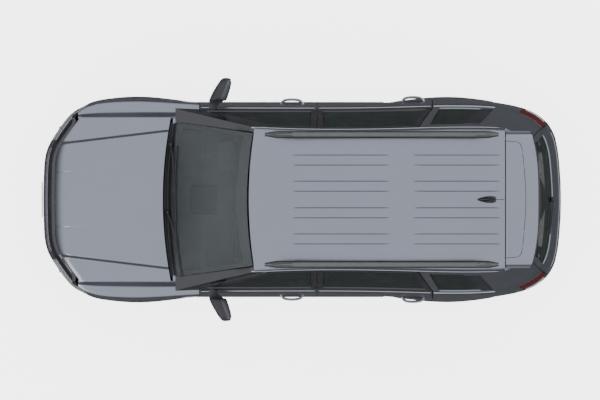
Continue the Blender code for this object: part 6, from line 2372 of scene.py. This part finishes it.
@dataclass
class Wheel:
    """One road wheel: tyre with tread blocks, alloy rim, nuts and cap."""

    end: str
    side: float
    radius: float = 0.394
    half: float = 0.1275
    rim: float = 0.238
    blocks_round: int = 44

    def build(self) -> None:
        """Builds and dresses the wheel around its node's middle."""
        node = side_name(f"{self.end}_tyre", self.side)
        low, high = (np.array(corner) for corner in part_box(node))
        centre = tuple((low + high) / 2)
        body = side_name(f"{self.end}_wheel", self.side)
        r, h, bead = self.radius, self.half, self.rim + 0.004
        groove = r - 0.008
        profile = [
            (bead, -h + 0.018), (bead + 0.010, -h + 0.008), (bead + 0.030, -h + 0.002),
            (bead + 0.055, -h), (r - 0.060, -h + 0.001),
            (r - 0.038, -h + 0.005), (r - 0.016, -h + 0.014), (r - 0.006, -h + 0.024), (groove, -h + 0.030),
        ]
        for mark in (-0.066, -0.024, 0.024, 0.066):
            profile += [
                (groove, mark - 0.007), (r - 0.016, mark - 0.005), (r - 0.016, mark + 0.005),
                (groove, mark + 0.007)
            ]
        profile += [(a, -b) for a, b in profile[8::-1]]
        tyre = Bench.turned(f"{node}_case", profile, centre, "Y", 72)
        pieces = [tyre]
        rings = (
            (0.0, 0.030, 0.20), (0.045, 0.028, -0.25), (-0.045, 0.028, 0.25), (0.094, 0.034, 0.12),
            (-0.094, 0.034, -0.12),
        )
        for lane, width, skew in rings:
            pieces.append(self.blocks(node, centre, lane, width, skew))
        fit(Bench.joined(f"{node}_tread", pieces), TYRE, body, node)
        self.alloy(centre, body)

    def blocks(self, node: str, centre: Point, lane: float, width: float, skew: float) -> Object:
        """One ring of tread blocks.

        Args:
            node: the tyre's frame node.
            centre: the wheel's middle.
            lane: how far the ring lies from the tyre's middle.
            width: the blocks' width.
            skew: how far each block is turned, in radians.

        Returns:
            The ring.
        """
        x, y, z = centre
        top = self.radius - (0.004 if abs(lane) > 0.08 else 0.0)
        block = Bench.block(
            f"{node}_block", (x - 0.021, y + lane - width / 2, z + self.radius - 0.016),
            (x + 0.021, y + lane + width / 2, z + top), 0.0, 1, (0.92, 0.92),
        )
        block.data.transform(spun((x, y + lane, z), skew, "Z"))
        made = [block]
        for k in range(1, self.blocks_round):
            turn = spun(centre, math.tau * k / self.blocks_round)
            made.append(Bench.copy(block, f"{node}_block_{k}", turn))
        return Bench.joined(f"{node}_ring", made)

    def alloy(self, centre: Point, body: str) -> None:
        """The rim: barrel with lips, six split spokes, hub, cap and nuts.

        Args:
            centre: the wheel's middle.
            body: the wheel's body.
        """
        node = side_name(f"{self.end}_rim", self.side)
        r, w, s = self.rim, self.half - 0.020, self.side
        barrel = [
            (r - 0.022, -w), (r - 0.004, -w - 0.002), (r, -w + 0.004), (r - 0.012, -w + 0.016),
            (r - 0.030, -w + 0.030),
            (r - 0.030, w - 0.030), (r - 0.012, w - 0.014), (r, w - 0.004), (r - 0.003, w + 0.003),
            (r - 0.014, w + 0.001),
            (r - 0.024, w - 0.014), (r - 0.036, w - 0.034), (r - 0.036, -w + 0.026),
            (r - 0.028, -w + 0.010),
        ]
        ring = [(a, b * s) for a, b in barrel]
        pieces = [Bench.turned(f"{node}_barrel", ring, centre, "Y", 72)]
        face = w - 0.026
        hub = [
            (0.0, face - 0.040), (0.0, face + 0.004), (0.030, face + 0.004), (0.040, face - 0.004),
            (0.062, face - 0.008), (0.072, face - 0.018), (0.074, face - 0.040)
        ]
        pieces.append(Bench.turned(f"{node}_hub", [(a, b * s) for a, b in hub], centre, "Y", 48))
        x, y, z = centre
        for k in range(6):
            for way in (-1, 1):
                outline = [
                    (0.052, 0.006 * way), (0.052, 0.030 * way), (0.120, 0.030 * way),
                    (r - 0.026, 0.050 * way), (r - 0.026, 0.026 * way), (0.120, 0.012 * way)
                ]
                rows = []
                for lift, draw in ((face - 0.034, 1.0), (face - 0.006, 1.0), (face, 0.82)):
                    line = []
                    for a, b in outline + outline[:1]:
                        mid = 0.018 * way if a < 0.1 else 0.021 * way if a < 0.15 else 0.038 * way
                        dish = -0.012 * math.sin(math.pi * min(1, (a - 0.05) / 0.17))
                        line.append((x + a, y + s * (lift + dish), z + mid + (b - mid) * draw))
                    rows.append(line)
                outer = np.array(rows)
                core = outer.mean(axis=1, keepdims=True)
                spoke = Bench.wall(f"{node}_spoke", outer, core + (outer - core) * 0.02, None, 1, 0)
                cap = np.array([rows[-1], (core[-1] + (np.array(rows[-1]) - core[-1]) * 0.05).tolist()])
                lid = Bench.wall(f"{node}_lid", cap, cap - np.array([0, 0.002 * s, 0]), None, 1, 0)
                for piece in (spoke, lid):
                    piece.data.transform(spun(centre, math.tau * k / 6))
                    pieces.append(piece)
        fit(Bench.joined(f"{node}_casting", pieces), ALLOY, body, node)
        nuts = []
        for k in range(6):
            turn = math.tau * (k + 0.5) / 6
            spot = (x + 0.050 * math.cos(turn), y, z + 0.050 * math.sin(turn))
            nut = [
                (0.0, face - 0.020), (0.0, face + 0.006), (0.006, face + 0.006), (0.009, face + 0.002),
                (0.010, face - 0.020)
            ]
            nuts.append(Bench.turned(f"{node}_nut", [(a, b * s) for a, b in nut], spot, "Y", 6))
        fit(Bench.joined(f"{node}_nuts", nuts), STEEL, body)
        cap = [
            (0.0, face), (0.0, face + 0.010), (0.018, face + 0.009), (0.027, face + 0.006), (0.030, face)
        ]
        fit(Bench.turned(f"{node}_cap", [(a, b * s) for a, b in cap], centre, "Y", 32), GLOSS, body)


@dataclass
class Seat:
    """A seat bench or chair: padded cushion, back and head restraints."""

    node: str
    hip: float
    low: float
    high: float
    base: float
    cushion: float
    back: float
    heads: tuple[float, ...]
    swell: float = 0.010

    def pad(
        self, name: str, outline: Sequence[Point], low: float, high: float, seams: Sequence[float]
    ) -> Object:
        """A crowned pad whose sides pull in and whose seams are sunk.

        Args:
            name: the piece's name.
            outline: its side view, as x and z.
            low: its lowest y.
            high: its highest y.
            seams: the y of its sewn channels.

        Returns:
            The pad.
        """
        piece = Bench.prism(name, outline, low, high, "Y", 0.030, 3)
        Bench.take(piece)
        change = piece.modifiers.new("even", "REMESH")
        change.mode, change.voxel_size = "VOXEL", 0.016
        bpy.ops.object.modifier_apply(modifier=change.name)
        self.puff(piece)
        points = Bench.corners(piece).astype(float)
        middle, half = (low + high) / 2, (high - low) / 2
        depth = np.zeros(len(points))
        for seam in seams:
            depth = np.maximum(depth, np.exp(-(((points[:, 1] - seam) / 0.010) ** 2)))
        normal = np.empty(len(points) * 3, np.float32)
        piece.data.vertices.foreach_get("normal", normal)
        pull = 0.004 * np.abs((points[:, 1] - middle) / half) ** 4
        points -= normal.reshape(-1, 3) * (depth * 0.008 + pull)[:, None]
        Bench.place(piece, points)
        return Bench.refine(piece, levels=1, angle=60.0)

    def puff(self, piece: Object) -> None:
        """Fills the pad with a short cloth simulation, capped to a small swell.

        Args:
            piece: the pad.
        """
        before = Bench.corners(piece).astype(float)
        Bench.take(piece)
        cloth = piece.modifiers.new("fill", "CLOTH")
        cloth.settings.use_pressure = True
        cloth.settings.uniform_pressure_force = 4.0
        cloth.settings.quality = 4
        cloth.settings.effector_weights.gravity = 0.0
        cloth.point_cache.frame_start, cloth.point_cache.frame_end = 1, 12
        for step in range(1, 13):
            bpy.context.scene.frame_set(step)
        bpy.ops.object.modifier_apply(modifier=cloth.name)
        bpy.context.scene.frame_set(1)
        change = Bench.corners(piece).astype(float) - before
        far = np.linalg.norm(change, axis=1, keepdims=True)
        Bench.place(piece, before + change * np.minimum(1.0, self.swell / np.maximum(far, 1e-9)))

    def build(self) -> None:
        """Builds and dresses the seat."""
        h, c, b, s = self.hip, self.cushion, self.back, self.swell
        width = self.high - self.low
        cushion = [
            (h + 0.33, self.base + 0.03), (h + 0.345 - s, c - 0.03), (h + 0.29, c + 0.012 - s),
            (h + 0.10, c - 0.004 - s), (h - 0.10, c - 0.03),
            (h - 0.15, c - 0.05), (h - 0.15, self.base + 0.03),
        ]
        back = [
            (h - 0.125, c - 0.03), (h - 0.145, c + 0.10), (h - 0.200 - s, b - 0.05), (h - 0.245, b - s),
            (h - 0.315, b - 0.035), (h - 0.250, c + 0.05), (h - 0.190, c - 0.05),
        ]
        edge = 0.075
        seams = [self.low + edge, self.high - edge]
        if len(self.heads) > 1:
            seams += [(one + other) / 2 for one, other in zip(self.heads, self.heads[1:])]
        else:
            seams += [self.low + width * 0.40, self.low + width * 0.60]
        name = self.node
        low, high = self.low + s, self.high - s
        pads = [fit(self.pad(f"{name}_cushion", cushion, low, high, seams), CLOTH, "body", name)]
        pads.append(fit(self.pad(f"{name}_back", back, low + 0.006, high - 0.006, seams), CLOTH, "body"))
        for k, y in enumerate(self.heads):
            head = [
                (h - 0.232, b + 0.035), (h - 0.228, b + 0.15), (h - 0.262, b + 0.188),
                (h - 0.300, b + 0.160), (h - 0.300, b + 0.040),
            ]
            pads.append(fit(self.pad(f"{name}_head_{k}", head, y - 0.115, y + 0.115, ()), HIDE, "body"))
            for way in (-1, 1):
                route = [(h - 0.265, y + way * 0.055, b - 0.03), (h - 0.262, y + way * 0.055, b + 0.06)]
                fit(
                    Bench.tube(f"{name}_post_{k}_{'ab'[way > 0]}", route, 0.006, smooth=False), STEEL,
                    "body",
                )
        foot = Bench.block(
            f"{name}_base", (h - 0.14, self.low + 0.03, self.base - 0.002),
            (h + 0.28, self.high - 0.03, self.base + 0.045), 0.006, 2,
        )
        fit(foot, BLACK, "body")


@dataclass
class Cabin:
    """Dashboard, console, steering wheel, seats and belts."""

    wheel_turn: float = math.radians(24)

    def build(self) -> None:
        """Builds and dresses the cabin."""
        self.dash()
        self.wheel()
        for side in (1, -1):
            low, high = sorted((side * 0.168, side * 0.650))
            Seat(
                side_name("front_seat", side), 0.10, low, high, 0.475, 0.760, 1.330, ((low + high) / 2,)
            ).build()
            self.belt(side)
        Seat("second_row_seat", -0.780, -0.578, 0.578, 0.655, 0.820, 1.370, (-0.400, 0.0, 0.400)).build()
        Seat("third_row_seat", -1.620, -0.530, 0.530, 0.655, 0.810, 1.270, (-0.270, 0.270)).build()

    def dash(self) -> None:
        """The dashboard with its binnacle, display, vents and glovebox line."""
        steps = np.linspace(-0.650, 0.650, 53)
        profile = [
            (0.980, 0.765), (0.980, 1.098), (0.930, 1.122), (0.880, 1.130), (0.780, 1.124), (0.690, 1.112),
            (0.642, 1.090), (0.612, 1.055), (0.606, 1.030), (0.622, 0.985), (0.630, 0.965), (0.645, 0.900),
            (0.700, 0.765),
        ]
        rows = []
        for k, (x, z) in enumerate(profile):
            sweep = 0.030 * (np.abs(steps) / 0.65) ** 2 * (0.6 <= x <= 0.8)
            groove = -0.006 if k == 9 else 0.0
            rows.append(
                np.stack([np.full_like(steps, x) + sweep - groove, steps, np.full_like(steps, z)], -1)
            )
        outer = np.array(rows)
        core = np.array([0.80, 0.0, 0.95])
        inner = outer.copy()
        inner[..., 0] = core[0] + (outer[..., 0] - core[0]) * 0.9
        inner[..., 2] = core[2] + (outer[..., 2] - core[2]) * 0.9
        dressed("dashboard_top", outer, inner, TRIM, bevel=0.002, node="dashboard")
        hood = [
            (0.800, 1.118), (0.650, 1.112), (0.612, 1.128), (0.640, 1.162), (0.700, 1.166), (0.780, 1.140)
        ]
        fit(Bench.prism("binnacle", hood, -0.545, -0.255, "Y", 0.010, 3), TRIM, "body")
        shelf = np.array([
            np.stack(
                [
                    np.full_like(steps, x) - 0.05 * steps**2, steps,
                    np.full_like(steps, z) - 0.02 * steps**2
                ],
                -1,
            )
            for x, z in ((1.168, 1.128), (1.10, 1.122), (1.02, 1.118), (0.950, 1.116))
        ])
        dressed("dash_shelf", shelf, shelf - np.array([0, 0, 0.010]), TRIM)
        fit(Bench.block("gauges", (0.618, -0.520, 1.062), (0.640, -0.280, 1.134), 0.004), DISPLAY, "body")
        fit(
            Bench.block("centre_display", (0.596, -0.150, 1.050), (0.622, 0.150, 1.168), 0.006), DISPLAY,
            "body",
        )
        tray = Bench.block(
            "dash_tray", (0.800, -0.150, 1.100), (1.050, 0.150, 1.145), 0.006, 2, (0.96, 0.85), 0.012,
            0.008,
        )
        fit(tray, BLACK, "body")
        for k, y in enumerate((-0.590, -0.205, 0.205, 0.590)):
            vent = Bench.block(f"vent_{k}", (0.604, y - 0.045, 1.000), (0.640, y + 0.045, 1.050), 0.004)
            fit(vent, GLOSS, "body")
            fins = [
                Bench.block("fin", (0.598, y - 0.040, z), (0.608, y + 0.040, z + 0.004), 0.001)
                for z in (1.010, 1.021, 1.032, 1.042)
            ]
            fit(Bench.joined(f"vent_fins_{k}", fins), RAIL, "body")
        console = [
            (0.780, 0.645), (0.780, 0.940), (0.590, 0.890), (0.430, 0.755), (0.130, 0.748),
            (0.105, 0.776), (-0.190, 0.776), (-0.195, 0.600), (0.050, 0.605)
        ]
        fit(Bench.prism("centre_console", console, -0.115, 0.115, "Y", 0.010, 3), TRIM, "body")
        fit(Bench.block("gear_plate", (0.180, -0.070, 0.748), (0.410, 0.070, 0.758), 0.003), GLOSS, "body")
        knob = [
            (0.0, 0.0), (0.0, 0.100), (0.018, 0.098), (0.026, 0.080), (0.022, 0.055), (0.010, 0.040),
            (0.014, 0.0)
        ]
        fit(Bench.turned("gear_knob", knob, (0.330, -0.010, 0.755), "Z", 24), HIDE, "body")
        for y in (0.035, -0.035):
            cup = [(0.022, 0.0), (0.030, 0.0), (0.034, 0.006), (0.034, 0.010), (0.028, 0.010)]
            fit(Bench.turned(f"cup_ring_{'ab'[y > 0]}", cup, (0.220, y, 0.756), "Z", 24), BRIGHT, "body")

    def wheel(self) -> None:
        """The steering wheel: rim, spokes, boss and column."""
        centre = (0.480, -0.400, 1.040)
        axis = Vector((-math.cos(self.wheel_turn), 0.0, math.sin(self.wheel_turn)))
        turn = Matrix.Translation(centre) @ axis.to_track_quat("Z", "Y").to_matrix().to_4x4()
        ring = [
            (0.184 + 0.0155 * math.cos(a), 0.0155 * math.sin(a))
            for a in np.linspace(0, math.tau, 13)[:-1]
        ]
        rim = Bench.turned("steering_rim", ring, (0, 0, 0), "Z", 64)
        boss = Bench.block(
            "steering_boss", (-0.062, -0.072, -0.020), (0.062, 0.058, 0.024), 0.014, 3, (0.8, 0.8)
        )
        spokes = []
        for angle in (0, math.pi, -math.pi / 2):
            bar = Bench.block("spoke", (0.030, -0.020, -0.008), (0.182, 0.020, 0.008), 0.005, 2)
            bar.data.transform(Matrix.Rotation(angle, 4, "Z"))
            spokes.append(bar)
        column = Bench.turned(
            "steering_column",
            [(0.0, -0.070), (0.0, -0.016), (0.030, -0.016), (0.040, -0.030), (0.040, -0.070)], (0, 0, 0),
            "Z", 32,
        )
        spoke = Bench.joined("steering_spokes", spokes)
        for piece, finish, nodes in (
            (rim, HIDE, ("steering_wheel",)), (boss, TRIM, ()), (spoke, RAIL, ()), (column, BLACK, ())
        ):
            piece.data.transform(turn)
            fit(piece, finish, "steering_wheel", *nodes)

    def belt(self, side: float) -> None:
        """A front belt from the pillar over the seat's shoulder to its buckle.

        Args:
            side: 1 for left, -1 for right.
        """
        low = np.array([
            (-0.115, 0.655, 1.430), (-0.095, 0.625, 1.400), (-0.060, 0.560, 1.330),
            (0.010, 0.470, 1.180), (0.060, 0.350, 1.000),
            (0.080, 0.250, 0.850), (0.060, 0.185, 0.800),
        ])
        steps = np.linspace(0, 6, 37)
        line = np.stack([spline(list(enumerate(low[:, k])))(steps) for k in range(3)], -1)
        wide = np.array([0.018, 0.010, 0.012])
        outer = np.array([line - wide, line, line + wide])
        back = outer - np.array([0.0012, 0, -0.0006])
        name = side_name("seat_belt", side)
        dressed(name, outer, back, SEAL, side)


@dataclass
class Underside:
    """Finishes for the frame's own chassis nodes, with springs and brakes added."""

    def build(self) -> None:
        """Dresses the carried-over nodes and adds the small parts."""
        kept = {
            IRON: (
                "ladder_frame", "rear_axle", "engine_and_gearbox", "front_knuckle_left",
                "front_knuckle_right",
            ),
            BLACK: ("fuel_tank",), STEEL: ("exhaust",), CARPET: ("floor_pan",), TYRE: ("spare_wheel",),
        }
        for finish, nodes in kept.items():
            for node in nodes:
                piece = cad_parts[node]
                piece.data.materials.clear()
                piece.data.materials.append(finish.made())
        for side in (1, -1):
            for end, x, low, high in (("front", 1.552, 0.330, 0.560), ("rear", -1.348, 0.470, 0.600)):
                y = 0.600 if end == "front" else 0.520
                turns = np.linspace(0, math.tau * 5, 81)
                route = [
                    (
                        x + 0.050 * math.cos(a), side * y + 0.050 * math.sin(a),
                        low + (high - low) * a / turns[-1],
                    )
                    for a in turns
                ]
                fit(Bench.tube(side_name(f"{end}_spring", side), route, 0.0075), STEEL, "body")
            disc = [
                (0.075, 0.044), (0.165, 0.044), (0.165, 0.050), (0.080, 0.050), (0.080, 0.056),
                (0.165, 0.056), (0.165, 0.062), (0.075, 0.062)
            ]
            node = side_name("front_knuckle", side)
            ring = [(a, side * b) for a, b in disc]
            fit(Bench.turned(f"{node}_disc", ring, (1.552, side * 0.740, 0.394), "Y", 48), STEEL, node)
            bends = [(0.178, np.radians(range(130, 225, 12))), (0.110, np.radians(range(218, 125, -12)))]
            around = [(radius, turn) for radius, turns in bends for turn in turns]
            caliper = [(1.552 + r * math.cos(a), 0.394 + r * math.sin(a)) for r, a in around]
            low, high = sorted((side * (0.740 + 0.032), side * (0.740 + 0.074)))
            fit(Bench.prism(f"{node}_caliper", caliper, low, high, "Y", 0.004, 2), RAIL, node)


@dataclass
class Studio:
    """Pale floor, soft light and the camera straight above."""

    centre: tuple[float, float] = (0.0141, 0.0047)
    width: float = 5.659
    height: float = 150.0

    def build(self) -> None:
        """Sets the stage."""
        Bench.clear()
        bpy.ops.mesh.primitive_plane_add(size=60.0, location=(0, 0, -0.002))
        floor = Bench.named(bpy.context.active_object, "studio_floor")
        bpy.ops.object.transform_apply(location=True)
        shade = Shade("studio_floor_paint")
        shade.set(Base_Color=(0.93, 0.93, 0.93, 1.0), Roughness=0.9)
        shade.set(Emission_Color=(1.0, 1.0, 1.0, 1.0), Emission_Strength=3.5)
        floor.data.materials.append(shade.material)
        floor.visible_glossy = False
        world = bpy.context.scene.world or bpy.data.worlds.new("studio")
        bpy.context.scene.world = world
        world.use_nodes = True
        world.node_tree.nodes["Background"].inputs["Color"].default_value = (0.93, 0.95, 1.0, 1.0)
        self.sky(world.node_tree)
        for name, spot, size, energy in (
            ("front_left", (5.5, 4.5, 4.5), (3.0, 2.0), 70.0),
            ("rear_right", (-5.5, -4.5, 4.5), (3.0, 2.0), 60.0),
        ):
            lamp = bpy.data.lights.new(name, "AREA")
            lamp.shape, lamp.size, lamp.size_y, lamp.energy = "RECTANGLE", *size, energy
            holder = bpy.data.objects.new(name, lamp)
            holder.location = spot
            holder.rotation_euler = (Vector((0, 0, 0.8)) - Vector(spot)).to_track_quat("-Z", "Y").to_euler()
            bpy.context.scene.collection.objects.link(holder)
        lens = bpy.data.cameras.new("camera")
        lens.sensor_width, lens.clip_end = 36.0, 400.0
        lens.lens = 36.0 * (self.height - 1.0) / self.width
        camera = bpy.data.objects.new("camera", lens)
        camera.location = (*self.centre, self.height)
        camera.rotation_euler = (0.0, 0.0, math.pi)
        bpy.context.scene.collection.objects.link(camera)
        bpy.context.scene.camera = camera

    @staticmethod
    def sky(tree: bpy.types.NodeTree) -> None:
        """A bright sky that fades to dark ground below the horizon.

        Args:
            tree: the world's nodes.
        """
        where = tree.nodes.new("ShaderNodeTexCoord")
        split = tree.nodes.new("ShaderNodeSeparateXYZ")
        level = tree.nodes.new("ShaderNodeMapRange")
        level.interpolation_type = "SMOOTHSTEP"
        for key, value in (("From Min", -0.06), ("From Max", 0.55), ("To Min", 0.10), ("To Max", 1.5)):
            level.inputs[key].default_value = value
        tree.links.new(where.outputs["Generated"], split.inputs["Vector"])
        tree.links.new(split.outputs["Z"], level.inputs["Value"])
        tree.links.new(level.outputs["Result"], tree.nodes["Background"].inputs["Strength"])


def main() -> None:
    """Builds the SUV's pieces in order."""
    Studio().build()
    for side in (1, -1):
        for end in ("front", "rear"):
            Door(end, side).build()
            ArchLip(end, side).build()
            Wheel(end, side).build()
        SideFrame(side).build()
        FrontWing(side).build()
        Shields(side).build()
        DoorMirror(side).build()
    for part in (Hood(), Roof(), Screen(), Nose(), Tail(), Underside(), Cabin()):
        part.build()


if __name__ == "__main__":
    main()
